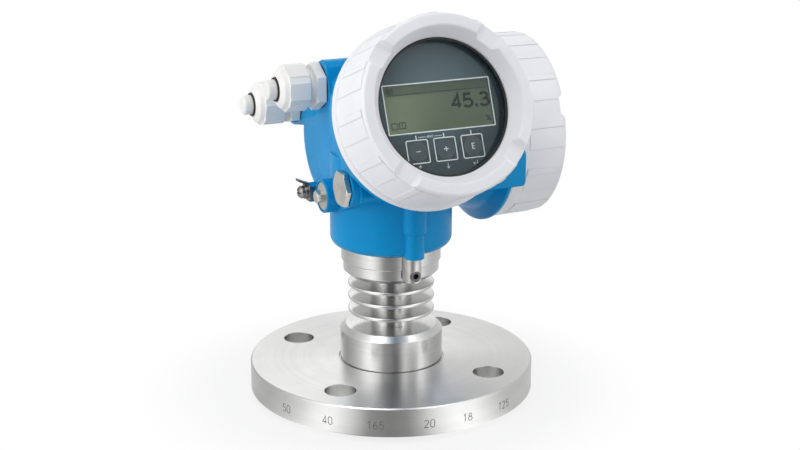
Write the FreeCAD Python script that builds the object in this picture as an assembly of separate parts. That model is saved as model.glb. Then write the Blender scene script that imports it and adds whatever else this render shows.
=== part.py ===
import FreeCAD, Part
import math
import os

Vector = FreeCAD.Vector
Placement = FreeCAD.Placement
Rotation = FreeCAD.Rotation

# Millimetres. The origin is the centre of the flange's sealing face and +Z runs up the neck.
# The display looks towards -Y and up, the terminal cover is on +X, the cable glands on -X.
# Three slanted frames are used: the display frame has its Z along the display axis,
# the terminal frame has its Z along +X, and the entry frame has its Z along -X.

# Process flange
flange_diameter = 165.0
flange_thickness = 20.0
flange_edge = 0.8
raised_face_diameter = 102.0
raised_face_height = 3.0
bolt_circle_diameter = 125.0
bolt_hole_diameter = 18.0
bolt_count = 4
bolt_turn = 39.5
hub_step_depth = 1.2
hub_step_gap = 0.9

# Antenna window and waveguide
window_diameter = 44.0
window_thickness = 6.0
window_cone_diameter = 30.0
window_cone_top = 32.0
window_seal_section = 2.0
horn_spigot_diameter = 36.0
waveguide_diameter = 12.0
waveguide_wall = 1.5
waveguide_top = 112.0
process_seal_diameter = 17.0
process_seal_height = 8.0

# Neck
adapter_diameter = 59.6
adapter_top = 41.0
adapter_chamfer = 3.2
neck_core_diameter = 24.0
neck_spigot_length = 8.0
fin_diameter = 50.0
fin_thickness = 2.1
fin_pitch = 7.9
fin_count = 3
first_fin_top = 50.9
fin_rim_radius = 0.6
collar_bottom = 72.3
collar_step_height = 80.5
collar_diameter = 55.4
collar_rim_diameter = 57.6
collar_chamfer = 2.4
swivel_diameter = 50.0
swivel_height = 15.0
swivel_clearance = 0.08
swivel_gap = 0.3
neck_seal_section = 2.4

# Screw cover with the window
cover_radius = 51.7
cover_rim_width = 4.8
cover_rim_step = 1.2
cover_step_height = 0.6
cover_side_taper = 1.5
cover_crest_inset = 1.0
cover_crest_drop = 1.6
cover_depth = 39.8
crest_width = 5.6
funnel_width = 5.0
funnel_depth = 7.5
cover_side_radius = cover_radius - cover_rim_step
cover_front_radius = cover_side_radius - cover_side_taper
cover_crest_radius = cover_front_radius - cover_crest_inset
funnel_radius = cover_crest_radius - crest_width
cover_lip_radius = funnel_radius - funnel_width

# Display compartment
thread_gap = 0.35
seat_gap = 0.4
display_cover_seat = 44.2
display_flange_inset = 3.2
display_flange_length = 13.2
display_spigot_inset = 5.3
display_spigot_length = 14.0
display_wall = 4.4
display_cavity_depth = 8.2
electronics_cavity_depth = 34.2
electronics_cavity_radius = 30.5
display_flange_radius = cover_radius - display_flange_inset
display_flange_back = display_cover_seat - display_flange_length
display_spigot_radius = cover_radius - display_spigot_inset
display_cavity_radius = display_spigot_radius - display_wall
display_cavity_floor = display_cover_seat - display_cavity_depth
electronics_cavity_floor = display_cover_seat - electronics_cavity_depth

# Head, main body
collar_rim_height = 9.5
neck_socket_bottom = collar_step_height + collar_rim_height
neck_socket_diameter = 70.2
neck_socket_edge = 5.0
display_axis_height = 155.0
display_tilt = 22.4
drum_wall = 3.0
drum_back = -20.0
drum_back_edge = 9.0
cheek_inset = 11.0
drum_radius = display_cavity_radius + drum_wall
cheek_offset = drum_radius - cheek_inset
rear_axis_depth = 20.0
rear_axis_drop = 7.4
rear_axis_height = display_axis_height - rear_axis_drop

# Terminal compartment, outside
terminal_seat = 63.2
terminal_ring_radius = 55.4
terminal_ring_width = 2.2
terminal_ring_edge = 0.8
terminal_spigot_inset = 7.8
terminal_spigot_length = 13.0
terminal_wall = 4.0
terminal_cavity_depth = 13.2
rear_flare_inset = 7.2
rear_flare_length = 14.0
rear_flare_neck = 4.0
rear_tube_inset = 9.9
rear_end_inset = 10.0
rear_end_edge = 10.0
rear_taper_end = 4.0
terminal_spigot_radius = terminal_ring_radius - terminal_spigot_inset
terminal_cavity_radius = terminal_spigot_radius - terminal_wall
terminal_cavity_floor = terminal_seat - terminal_cavity_depth
rear_flare_radius = terminal_ring_radius - rear_flare_inset
rear_tube_radius = terminal_ring_radius - rear_tube_inset
rear_end_radius = rear_tube_radius - rear_end_inset

# Spanner slots and grip ribs of both screw covers
slot_count = 4
slot_turn = 49.3
slot_width = 14.5
slot_floor_width = 9.5
slot_depth = 3.2
slot_start_gap = 0.6
rib_count = 12
rib_width = 3.8
rib_height = 0.55
rib_overlap = 1.0
rib_margin = 0.8
pad_height = 0.22

# Window glass of the display cover
lip_thickness = 1.4
glass_overlap = 3.6
glass_gap = 0.3
glass_thickness = 5.0
gasket_thickness = 1.0
gasket_overlap = 1.2
glass_ring_thickness = 2.5
glass_ring_width = 1.6
glass_radius = cover_lip_radius + glass_overlap
gasket_bore_radius = cover_lip_radius - gasket_overlap
glass_ring_bore_radius = glass_radius - glass_ring_width
glass_front = cover_depth - funnel_depth - lip_thickness - gasket_thickness
glass_back = glass_front - glass_thickness
cover_seal_section = 2.7
cover_seal_height = 2.2
seal_groove_gap = 0.1

# Display unit
unit_side_gap = 0.8
unit_front_gap = 1.3
unit_radius = glass_ring_bore_radius - unit_side_gap
unit_face = display_cover_seat + glass_back - unit_front_gap
unit_depth = 16.0
foil_thickness = 0.6
unit_hub_radius = 20.0
unit_hub_length = 9.0
unit_turn_clearance = 0.08
lcd_width = 62.6
lcd_height = 26.8
lcd_rise = 1.5
lcd_frame_width = 0.9
lcd_thickness = 3.0
key_pitch = 16.0
key_drop = 21.6
key_radius = 5.6
key_gap = 0.3
key_dome = 0.7
key_stem_length = 3.0
key_travel = 0.8
holder_thickness = 6.0
electronics_length = 24.0
electronics_gap = 1.0
electronics_radius = electronics_cavity_radius - electronics_gap

# Cover of the terminal compartment
terminal_cover_inset = 1.4
terminal_rim_width = 7.0
terminal_rim_step = 0.4
terminal_side_taper = 0.4
terminal_crest_inset = 1.2
terminal_crest_drop = 1.2
terminal_cover_depth = 32.5
terminal_cover_wall = 3.4
terminal_cover_turn = 18.7
terminal_panel_inset = 5.6
terminal_end_recess = 1.5
terminal_cover_radius = terminal_ring_radius - terminal_cover_inset
terminal_side_radius = terminal_cover_radius - terminal_rim_step
terminal_front_radius = terminal_side_radius - terminal_side_taper
terminal_crest_radius = terminal_front_radius - terminal_crest_inset
terminal_panel_radius = terminal_cavity_radius - terminal_panel_inset

# Terminals
terminal_block_width = 46.0
terminal_block_height = 20.0
terminal_block_depth = 16.0
terminal_step_depth = 4.0
terminal_count = 4
terminal_screw_radius = 2.8
terminal_screw_gap = 0.2
terminal_screw_sink = 0.8
terminal_screw_length = 2.7
terminal_well_depth = 3.5
terminal_slot_width = 0.8
terminal_slot_depth = 1.0
wire_entry_width = 6.4
wire_entry_depth = 6.0
wire_entry_margin = 3.0
inner_ground_radius = 4.0
inner_ground_washer_radius = 5.0
inner_ground_washer_height = 1.0
inner_ground_head_height = 2.6
inner_ground_down = 24.0
inner_ground_back = 20.0

# Cable entries
gland_face = 35.4
gland_rise = 31.2
gland_front = -7.7
gland_pitch = 45.0
gland_count = 2
gland_flats = 24.0
gland_hex_thickness = 5.5
gland_thread_radius = 10.0
gland_thread_length = 9.0
gland_neck_radius = 9.6
gland_stem_length = 19.0
gland_bore_radius = 6.3
gland_seal_thickness = 0.5
gland_nut_length = 12.5
gland_nut_start = 9.8
gland_nut_wall_gap = 0.3
gland_end = 29.3
gland_mouth_radius = 7.0
plug_radius = 5.7
plug_stand = 3.3
entry_block_top = 44.0
entry_block_low_back = 19.3
entry_block_low_front = 4.9
entry_face_low_back = 19.6
entry_face_low_front = 14.5
entry_block_margin = 14.5
entry_block_edge = 6.0
entry_block_end = 30.0
gland_turns = (0.0, -16.0)

# Bosses on the left side, placed in the display frame
boss_drop = 30.8
boss_edge = 0.8
pad_half_height = 10.0
pad_back = -20.0
pad_front = 28.0
pad_out = 0.8
vent_boss_front = -12.8
vent_boss_radius = 9.6
vent_boss_face = 42.6
vent_recess_radius = 8.3
vent_recess_depth = 1.6
vent_washer_thickness = 1.2
vent_plug_flats = 6.6
vent_plug_stand = 4.2
vent_thread_radius = 3.0
plug_boss_front = 16.3
plug_boss_radius = 11.0
plug_boss_face = 39.0
hex_plug_flats = 18.4
hex_plug_thickness = 2.8
hex_plug_seal = 0.6
hex_plug_thread_radius = 8.0
hex_plug_thread_length = 10.0

# Ground terminal outside
ground_back = 5.0
ground_drop = 29.6
ground_boss_radius = 5.2
ground_boss_face = 41.5
ground_boss_depth = 11.5
ground_hole_depth = 7.0
ground_depth = rear_axis_depth + ground_back
ground_height = rear_axis_height - ground_drop
ground_plate_size = 9.0
ground_lip_gap = 0.3
ground_lip_height = 2.5
ground_tab_lean = 25.0
ground_tab_width = 4.8
ground_plate_thickness = 1.2
ground_tab_height = 7.0
ground_washer_radius = 4.2
ground_washer_thickness = 1.0
ground_screw_radius = 2.0
ground_head_radius = 3.7
ground_head_height = 2.6

# Clamp at the neck
clamp_turn = -91.5
clamp_boss_radius = 5.7
clamp_boss_out = 34.6
clamp_upper_radius = 6.9
clamp_upper_rise = 15.0
clamp_block_radius = 4.8
clamp_block_inset = 2.0
clamp_block_length = 14.4
clamp_screw_drop = 10.4
clamp_screw_radius = 3.0
clamp_screw_gap = 0.05
clamp_screw_sink = 0.5
clamp_socket_flats = 3.0
clamp_socket_depth = 3.0

# Joining block between the display and terminal compartments, with a lug before the side cover
bridge_reach = 49.0
bridge_drop = 22.1
bridge_rise = 30.4
bridge_start = 10.0
lug_gap = 0.8
lug_thickness = 4.2
lug_rise = 2.4
lug_start = 20.0
lug_overlap = 3.0
lug_edge = 2.5
bridge_front = rear_axis_depth - bridge_reach
bridge_bottom = rear_axis_height - bridge_drop
bridge_top = rear_axis_height + bridge_rise
lug_back = rear_axis_depth - terminal_cover_radius - lug_gap
lug_front = lug_back - lug_thickness
lug_top = rear_axis_height + lug_rise
lug_end = terminal_seat + lug_overlap

# Inside passages
channel_front = 0.0
channel_wall = 4.5
channel_edge = 5.0
passage_radius = 26.0
passage_start = 10.0
neck_cavity_radius = 22.0
neck_cavity_drop = 15.0
neck_cavity_top = display_axis_height - neck_cavity_drop
hf_module_gap = 2.0
hf_module_floor_gap = 1.5
hf_module_height = 22.0
hf_module_edge = 1.5
hf_module_radius = neck_cavity_radius - hf_module_gap
waveguide_end_gap = 1.0

eps = 0.01
Z = Vector(0, 0, 1)
origin = Vector(0, 0, 0)

display_frame = Placement(Vector(0, 0, display_axis_height), Rotation(Vector(1, 0, 0), 90 - display_tilt))
terminal_frame = Placement(Vector(0, rear_axis_depth, rear_axis_height), Rotation(Vector(0, 1, 0), 90))


def entry_frame(face, rise, front):
    centre = display_frame.multVec(Vector(0, rise, front))
    return Placement(Vector(-face, centre.y, centre.z), Rotation(Vector(0, 1, 0), -90))


# Drawing helpers

def rounded_wire(corners):
    count = len(corners)
    starts, middles, ends = [], [], []
    for index, corner in enumerate(corners):
        here = Vector(corner[0], corner[1], 0)
        radius = corner[2] if len(corner) > 2 else 0
        if radius == 0:
            starts.append(here)
            middles.append(None)
            ends.append(here)
            continue
        before = Vector(corners[index - 1][0], corners[index - 1][1], 0) - here
        after = Vector(corners[(index + 1) % count][0], corners[(index + 1) % count][1], 0) - here
        half = before.getAngle(after) / 2
        before.normalize()
        after.normalize()
        middle_line = (before + after).normalize()
        starts.append(here + before * (radius / math.tan(half)))
        ends.append(here + after * (radius / math.tan(half)))
        middles.append(here + middle_line * (radius / math.sin(half) - radius))
    edges = []
    for index in range(count):
        if middles[index] is not None:
            edges.append(Part.Arc(starts[index], middles[index], ends[index]).toShape())
        following = starts[(index + 1) % count]
        if (following - ends[index]).Length > eps / 10:
            edges.append(Part.LineSegment(ends[index], following).toShape())
    return Part.Wire(edges)


def turned(corners, angle=360.0):
    face = Part.Face(rounded_wire(corners))
    face.rotate(origin, Vector(1, 0, 0), 90)
    return face.revolve(origin, Z, angle)


def extruded(corners, height, start=0.0):
    face = Part.Face(rounded_wire(corners))
    face.translate(Vector(0, 0, start))
    return face.extrude(Vector(0, 0, height))


def rod(radius, start, end, x=0.0, y=0.0):
    return Part.makeCylinder(radius, end - start, Vector(x, y, start), Z)


def tube(outer, inner, start, end, x=0.0, y=0.0):
    return rod(outer, start, end, x, y).cut(rod(inner, start - 1, end + 1, x, y))


def block(low, high):
    size = [high[axis] - low[axis] for axis in range(3)]
    return Part.makeBox(size[0], size[1], size[2], Vector(*low))


def hexagon(flats, turn=0.0):
    radius = flats / math.sqrt(3)
    angles = [math.radians(turn + 60 * step) for step in range(6)]
    return [(radius * math.cos(angle), radius * math.sin(angle)) for angle in angles]


def hex_prism(flats, start, end, turn=0.0, chamfer=0.0):
    prism = extruded(hexagon(flats, turn), end - start, start)
    if chamfer:
        corner = flats / math.sqrt(3)
        dome = turned([(0, start), (corner, start), (corner, end - chamfer),
                       (corner - chamfer * 1.7, end), (0, end)])
        prism = prism.common(dome)
    return prism


def ring_seal(radius, section, height):
    return Part.makeTorus(radius, section / 2, Vector(0, 0, height), Z)


def placed(shape, frame):
    moved = shape.copy()
    moved.Placement = frame.multiply(moved.Placement)
    return moved


def turned_copies(shape, count, first=0.0):
    copies = []
    for step in range(count):
        copy = shape.copy()
        copy.rotate(origin, Z, first + 360.0 * step / count)
        copies.append(copy)
    return copies


def joined(shapes):
    whole = shapes[0].fuse(shapes[1:]) if len(shapes) > 1 else shapes[0]
    return whole.removeSplitter()


# Process connection

def process_flange():
    radius = flange_diameter / 2
    step_radius = adapter_diameter / 2 + hub_step_gap
    window_radius = window_diameter / 2
    bore_radius = horn_spigot_diameter / 2
    floor = flange_thickness - hub_step_depth
    body = turned([
        (window_radius, 0), (raised_face_diameter / 2, 0),
        (raised_face_diameter / 2, raised_face_height),
        (radius - flange_edge, raised_face_height), (radius, raised_face_height + flange_edge),
        (radius, flange_thickness - flange_edge), (radius - flange_edge, flange_thickness),
        (step_radius, flange_thickness), (step_radius, floor), (bore_radius, floor),
        (bore_radius, window_thickness), (window_radius, window_thickness)])
    hole = rod(bolt_hole_diameter / 2, -1, flange_thickness + 1, bolt_circle_diameter / 2)
    groove = tube(window_groove_radius() + window_seal_section / 2,
                  window_groove_radius() - window_seal_section / 2,
                  window_thickness - eps, window_thickness + window_seal_section)
    return body.cut(turned_copies(hole, bolt_count, bolt_turn) + [groove])


def window_groove_radius():
    return (window_diameter + horn_spigot_diameter) / 4


def antenna_window():
    return turned([
        (0, 0), (window_diameter / 2, 0), (window_diameter / 2, window_thickness),
        (window_cone_diameter / 2, window_thickness),
        (waveguide_diameter / 2 - waveguide_wall, window_cone_top), (0, window_cone_top)])


def window_seal():
    return ring_seal(window_groove_radius(), window_seal_section, window_thickness + window_seal_section / 2)


def antenna_adapter():
    radius = adapter_diameter / 2
    spigot = horn_spigot_diameter / 2
    cone_top = waveguide_diameter / 2 - waveguide_wall
    seat = adapter_top - neck_spigot_length
    return turned([
        (window_cone_diameter / 2, window_thickness), (spigot, window_thickness),
        (spigot, flange_thickness - hub_step_depth), (radius, flange_thickness - hub_step_depth),
        (radius, adapter_top - adapter_chamfer), (radius - adapter_chamfer, adapter_top),
        (neck_spigot_radius(), adapter_top), (neck_spigot_radius(), seat),
        (cone_top, seat), (cone_top, window_cone_top)])


def neck_spigot_radius():
    return neck_core_diameter / 2 - 1.5


def finned_neck():
    core = neck_core_diameter / 2
    bottom = adapter_top - neck_spigot_length
    top = collar_bottom + neck_spigot_length
    blank = joined([rod(neck_spigot_radius(), bottom, top), rod(core, adapter_top, collar_bottom)])
    discs = []
    for step in range(fin_count):
        high = first_fin_top + step * fin_pitch
        low = high - fin_thickness
        discs.append(turned([
            (core - 1, low), (fin_diameter / 2, low, fin_rim_radius),
            (fin_diameter / 2, high, fin_rim_radius), (core - 1, high)]))
    solid = joined([blank] + discs)
    seal_pocket = rod(process_seal_diameter / 2, bottom - 1, bottom + process_seal_height)
    return solid.cut([rod(waveguide_diameter / 2, bottom - 1, top + 1), seal_pocket])


def process_seal():
    bottom = adapter_top - neck_spigot_length
    return tube(process_seal_diameter / 2, waveguide_diameter / 2, bottom, bottom + process_seal_height)


def waveguide_tube():
    outer = waveguide_diameter / 2
    return tube(outer, outer - waveguide_wall, adapter_top - neck_spigot_length, waveguide_top)


def neck_seal_radius():
    return swivel_diameter / 2 - neck_seal_section / 2


def neck_collar():
    radius = collar_diameter / 2
    rim = collar_rim_diameter / 2
    swivel = swivel_diameter / 2
    rim_top = neck_socket_bottom - swivel_gap
    body = turned([
        (waveguide_diameter / 2, collar_bottom), (radius - collar_chamfer, collar_bottom),
        (radius, collar_bottom + collar_chamfer), (radius, collar_step_height),
        (rim, collar_step_height + 0.6), (rim, rim_top - 0.6), (rim - 0.6, rim_top), (swivel, rim_top),
        (swivel, neck_socket_bottom + swivel_height - 0.8),
        (swivel - 0.8, neck_socket_bottom + swivel_height),
        (waveguide_diameter / 2, neck_socket_bottom + swivel_height)])
    socket = rod(neck_spigot_radius(), collar_bottom - 1, collar_bottom + neck_spigot_length)
    middle = neck_socket_bottom + swivel_height / 2
    groove = tube(swivel + 1, swivel - neck_seal_section, middle - neck_seal_section * 0.6,
                  middle + neck_seal_section * 0.6)
    return body.cut([socket, groove])


def neck_seal():
    return ring_seal(neck_seal_radius(), neck_seal_section, neck_socket_bottom + swivel_height / 2)


# Head casting, outside forms

def neck_outside():
    radius = neck_socket_diameter / 2
    return turned([
        (0, neck_socket_bottom), (radius, neck_socket_bottom, neck_socket_edge),
        (radius, display_axis_height - 10), (0, display_axis_height - 10)])


def drum_outside():
    drum = placed(turned([
        (0, drum_back), (drum_radius, drum_back, drum_back_edge),
        (drum_radius, display_flange_back + 2), (0, display_flange_back + 2)]), display_frame)
    reach = 3 * drum_radius
    keep = block((-cheek_offset, -reach, 0), (reach, reach, 3 * reach))
    return drum.common(keep)


def display_flange():
    front = display_cover_seat - seat_gap
    return placed(turned([
        (0, display_flange_back - 4), (drum_radius - 3, display_flange_back - 4),
        (display_flange_radius, display_flange_back, 2.0),
        (display_flange_radius, front), (display_spigot_radius, front),
        (display_spigot_radius, front + display_spigot_length - 1),
        (display_spigot_radius - 1, front + display_spigot_length),
        (0, front + display_spigot_length)]), display_frame)


def rear_tube():
    seat = terminal_seat - seat_gap
    ring_back = seat - terminal_ring_width
    return placed(turned([
        (0, -cheek_offset), (rear_end_radius, -cheek_offset, rear_end_edge),
        (rear_tube_radius, rear_taper_end, 12.0),
        (rear_tube_radius, ring_back - rear_flare_length),
        (rear_flare_radius, ring_back - rear_flare_neck, 3.0),
        (terminal_ring_radius, ring_back, terminal_ring_edge),
        (terminal_ring_radius, seat, terminal_ring_edge),
        (terminal_spigot_radius, seat),
        (terminal_spigot_radius, seat + terminal_spigot_length - 1),
        (terminal_spigot_radius - 1, seat + terminal_spigot_length),
        (0, seat + terminal_spigot_length)]), terminal_frame)


def along_x(outline, start, end):
    # The outline's first value is Y, its second Z.
    slab = extruded(outline, end - start)
    slab.rotate(origin, Vector(0, 0, 1), 90)
    slab.rotate(origin, Vector(0, 1, 0), 90)
    slab.translate(Vector(start, 0, 0))
    return slab


def bridge_outside():
    return along_x([
        (bridge_front, bridge_bottom, 1.5), (rear_axis_depth, bridge_bottom),
        (rear_axis_depth, bridge_top), (bridge_front, bridge_top, 12.0)],
        bridge_start, terminal_seat - seat_gap - terminal_ring_width)


def lug_outside():
    # Plate with a rounded free end that stands before the rim of the side cover.
    depth = lug_back - lug_front
    plate = extruded([
        (lug_start, bridge_bottom), (lug_end, bridge_bottom, lug_edge),
        (lug_end, lug_top, 3 * lug_edge), (lug_start, lug_top)], depth)
    plate.rotate(origin, Vector(1, 0, 0), 90)
    plate.translate(Vector(0, lug_back, 0))
    root = along_x([
        (lug_front, bridge_bottom), (rear_axis_depth, bridge_bottom), (rear_axis_depth, lug_top),
        (lug_front, lug_top)], lug_start, terminal_seat - seat_gap - terminal_ring_width)
    return joined([plate, root])


def entry_front():
    return gland_front + entry_block_margin


def entry_back():
    return gland_front - gland_pitch * (gland_count - 1) - entry_block_margin


def entry_outline(low_back, low_front):
    edge = entry_block_edge
    return [(low_back, entry_back(), edge), (low_front, entry_front(), edge),
            (entry_block_top, entry_front(), edge), (entry_block_top, entry_back(), edge)]


def sideways(shape):
    # Turns a shape drawn in X and Y so that X runs up the display frame and Y along its axis.
    turn = Placement(origin, Rotation(Vector(0, 1, 0), Vector(0, 0, 1), Vector(1, 0, 0), "XYZ"))
    return placed(placed(shape, turn), display_frame)


def side_prism(outline, start, end):
    return sideways(extruded(outline, end - start, start))


def entry_block():
    # The entry face sits a little out of the flat cheek, with a sloping underside between them.
    cheek_wire = rounded_wire(entry_outline(entry_block_low_back, entry_block_low_front))
    face_wire = rounded_wire(entry_outline(entry_face_low_back, entry_face_low_front))
    cheek_wire.translate(Vector(0, 0, -cheek_offset))
    face_wire.translate(Vector(0, 0, -gland_face))
    bevel = sideways(Part.makeLoft([face_wire, cheek_wire], True, True))
    main = side_prism(entry_outline(entry_block_low_back, entry_block_low_front), -cheek_offset,
                      entry_block_end)
    return joined([bevel, main])


def left_boss(radius, face, front):
    frame = entry_frame(face, -boss_drop, front)
    blank = turned([(0, -cheek_offset), (radius, -cheek_offset), (radius, 0, boss_edge), (0, 0)])
    return placed(blank, frame)


def left_pad():
    low = -boss_drop - pad_half_height
    high = -boss_drop + pad_half_height
    outline = [(low, pad_back, 3.0), (low, pad_front, 3.0), (high, pad_front, 3.0), (high, pad_back, 3.0)]
    return side_prism(outline, -cheek_offset - pad_out, 0)


def ground_frame():
    return Placement(Vector(-ground_boss_face, ground_depth, ground_height), Rotation(Vector(0, 1, 0), -90))


def ground_boss():
    return placed(rod(ground_boss_radius, -ground_boss_depth, 0), ground_frame())


def clamp_boss():
    top = rear_axis_height - bridge_drop
    lower = rod(clamp_boss_radius, neck_socket_bottom, top, clamp_boss_out)
    upper = rod(clamp_upper_radius, neck_socket_bottom + clamp_upper_rise, top, clamp_boss_out)
    both = joined([lower, upper])
    both.rotate(origin, Z, clamp_turn)
    return both


# Head casting, hollow inside

def display_hollow():
    front = display_cover_seat + display_spigot_length + 5
    wide = rod(display_cavity_radius, display_cavity_floor, front)
    narrow = rod(electronics_cavity_radius, electronics_cavity_floor, display_cavity_floor + 1)
    return placed(joined([wide, narrow]), display_frame)


def terminal_hollow():
    return placed(rod(terminal_cavity_radius, terminal_cavity_floor, terminal_seat + 30), terminal_frame)


def entry_channel():
    wall = channel_wall
    slope = (entry_block_low_front - entry_block_low_back) / (entry_front() - entry_back())
    back = entry_back() + wall
    low_back = entry_block_low_back + wall * (1 + slope)
    low_front = low_back + slope * (channel_front - back)
    high = entry_block_top - wall
    outline = [(low_back, back, channel_edge), (low_front, channel_front, channel_edge),
               (high, channel_front, channel_edge), (high, back, channel_edge)]
    channel = side_prism(outline, -gland_face + gland_thread_length, entry_block_end - wall)
    passage = placed(rod(passage_radius, passage_start, terminal_cavity_floor + 1), terminal_frame)
    return channel.fuse(passage)


def seal_radius(spigot):
    return spigot + thread_gap - seal_groove_gap - cover_seal_section / 2


def seal_groove(spigot, seat):
    half = cover_seal_section / 2 + seal_groove_gap
    middle = seat + cover_seal_height
    return tube(spigot + 1, seal_radius(spigot) - half, middle - half, middle + half)


def neck_hollow():
    swivel = swivel_diameter / 2 + swivel_clearance
    bottom = neck_socket_bottom
    top = bottom + swivel_height + 1
    socket = rod(swivel, bottom - 1, top)
    return joined([socket, rod(neck_cavity_radius, top - 1, neck_cavity_top)])


def housing():
    forms = [drum_outside(), neck_outside(), display_flange(), rear_tube(), bridge_outside(),
             lug_outside(), entry_block(), left_pad(), ground_boss(), clamp_boss(),
             left_boss(vent_boss_radius, vent_boss_face, vent_boss_front),
             left_boss(plug_boss_radius, plug_boss_face, plug_boss_front)]
    solid = joined(forms)
    hollows = [display_hollow(), terminal_hollow(), entry_channel(), neck_hollow(),
               placed(seal_groove(display_spigot_radius, display_cover_seat), display_frame),
               placed(seal_groove(terminal_spigot_radius, terminal_seat), terminal_frame)]
    for index in range(gland_count):
        bore = rod(gland_thread_radius, -gland_thread_length - 1, 1)
        hollows.append(placed(bore, gland_frame(index)))
    vent_frame = entry_frame(vent_boss_face, -boss_drop, vent_boss_front)
    hollows.append(placed(rod(vent_recess_radius, -vent_recess_depth, 1), vent_frame))
    hollows.append(placed(rod(vent_thread_radius, -vent_recess_depth - 8, 1), vent_frame))
    plug_frame = entry_frame(plug_boss_face, -boss_drop, plug_boss_front)
    hollows.append(placed(rod(hex_plug_thread_radius, -hex_plug_thread_length, 1), plug_frame))
    hollows.append(placed(rod(ground_screw_radius, -ground_hole_depth, 1), ground_frame()))
    return solid.cut(hollows)


# Clamp at the neck

def clamp_block():
    inner = collar_rim_diameter / 2 + swivel_gap
    bottom = neck_socket_bottom - clamp_block_length
    middle = clamp_boss_out - clamp_block_inset
    body = rod(clamp_block_radius, bottom, neck_socket_bottom, middle)
    slab = block((inner - clamp_block_radius, -clamp_block_radius, bottom),
                 (middle, clamp_block_radius, neck_socket_bottom))
    hole = placed(rod(clamp_screw_radius + clamp_screw_gap, -inner, inner), clamp_screw_frame())
    whole = joined([body, slab]).cut([rod(inner, bottom - 1, neck_socket_bottom + 1), hole])
    whole.rotate(origin, Z, clamp_turn)
    return whole


def clamp_screw_frame():
    start = Vector(collar_rim_diameter / 2 + clamp_screw_gap, 0, neck_socket_bottom - clamp_screw_drop)
    return Placement(start, Rotation(Vector(0, 1, 0), 90))


def clamp_screw():
    end = (clamp_boss_out - clamp_block_inset + clamp_block_radius - collar_rim_diameter / 2
           - clamp_screw_sink)
    body = turned([(0, 0), (clamp_screw_radius - 1, 0), (clamp_screw_radius, 1),
                   (clamp_screw_radius, end), (0, end)])
    body = body.cut(hex_prism(clamp_socket_flats, end - clamp_socket_depth, end + 1))
    screw = placed(body, clamp_screw_frame())
    screw.rotate(origin, Z, clamp_turn)
    return screw


# Screw covers

def cap_grip(low_point, high_point):
    # Narrow grip ribs with a low pad on one side of each, along the side between two section points.
    side, low = low_point
    front, high = high_point
    slope = (front - side) / (high - low)
    first_height = low + rib_margin
    last_height = high - rib_margin
    first_radius = side + slope * rib_margin
    last_radius = front - slope * rib_margin
    pieces = []
    for height, width, centred in ((rib_height, rib_width, True),
                                   (pad_height, math.pi * side / rib_count, False)):
        angle = math.degrees(width / side)
        strip = turned([
            (first_radius - rib_overlap, first_height), (first_radius + height, first_height),
            (last_radius + height, last_height), (last_radius - rib_overlap, last_height)], angle)
        if centred:
            strip.rotate(origin, Z, -angle / 2)
        pieces += turned_copies(strip, rib_count)
    return pieces


def cap_slots(depth, outer_radius):
    # Spanner slots with sloping walls, open towards the outside.
    top = slot_width / 2
    floor = slot_floor_width / 2
    rise = (top - floor) / slot_depth
    section = [(-floor, depth - slot_depth), (floor, depth - slot_depth),
               (top + rise, depth + 1), (-top - rise, depth + 1)]
    start = cover_lip_radius + slot_start_gap
    slot = extruded(section, outer_radius + rib_overlap - start, start)
    slot.rotate(origin, Vector(1, 0, 0), 90)
    slot.rotate(origin, Z, 90)
    return turned_copies(slot, slot_count, slot_turn)


def display_cover():
    depth = cover_depth
    lip = cover_lip_radius
    funnel_floor = depth - funnel_depth
    side_point = (cover_side_radius, cover_rim_width + cover_step_height)
    front_point = (cover_front_radius, depth - cover_crest_drop)
    blank = turned([
        (0, 0), (cover_radius, 0, 1.0), (cover_radius, cover_rim_width, 0.8), side_point,
        front_point + (1.2,), (cover_crest_radius, depth, 1.2), (funnel_radius, depth, 1.5),
        (lip, funnel_floor, 0.8), (lip, funnel_floor - lip_thickness), (0, funnel_floor - lip_thickness)])
    solid = joined([blank] + cap_grip(side_point, front_point))
    pocket = joined([
        rod(glass_radius + glass_gap, display_spigot_length, glass_front + gasket_thickness),
        rod(display_spigot_radius + thread_gap, -1, display_spigot_length + seat_gap),
        rod(lip, 0, depth + 1)])
    solid = solid.cut([pocket] + cap_slots(depth, cover_radius))
    return placed(solid, cover_frame())


def cover_frame():
    return display_frame.multiply(Placement(Vector(0, 0, display_cover_seat), Rotation()))


def window_glass():
    return placed(rod(glass_radius, glass_back, glass_front), cover_frame())


def glass_gasket():
    return placed(tube(glass_radius, gasket_bore_radius, glass_front, glass_front + gasket_thickness),
                  cover_frame())


def glass_ring():
    return placed(tube(glass_radius, glass_ring_bore_radius, glass_back - glass_ring_thickness, glass_back),
                  cover_frame())


def cover_seal():
    return placed(ring_seal(seal_radius(display_spigot_radius), cover_seal_section,
                            display_cover_seat + cover_seal_height), display_frame)


# Display unit

def unit_back():
    return unit_face - unit_depth


def lcd_corners(margin=0.0):
    x = lcd_width / 2 + margin
    return [(-x, lcd_rise - lcd_height / 2 - margin, 0.3), (x, lcd_rise - lcd_height / 2 - margin, 0.3),
            (x, lcd_rise + lcd_height / 2 + margin, 0.3), (-x, lcd_rise + lcd_height / 2 + margin, 0.3)]


def key_places():
    return [(-key_pitch, -key_drop), (0.0, -key_drop), (key_pitch, -key_drop)]


def display_body():
    face = unit_face - foil_thickness
    body = turned([
        (0, unit_back() - unit_hub_length), (unit_hub_radius, unit_back() - unit_hub_length),
        (unit_hub_radius, unit_back()), (unit_radius, unit_back(), 1.5),
        (unit_radius, face), (0, face)])
    pocket = extruded(lcd_corners(), lcd_thickness + 1, face - lcd_thickness)
    wells = [rod(key_radius + key_gap, face - key_stem_length - key_travel - 0.4, face + 1, x, y)
             for x, y in key_places()]
    return placed(body.cut([pocket] + wells), display_frame)


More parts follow.
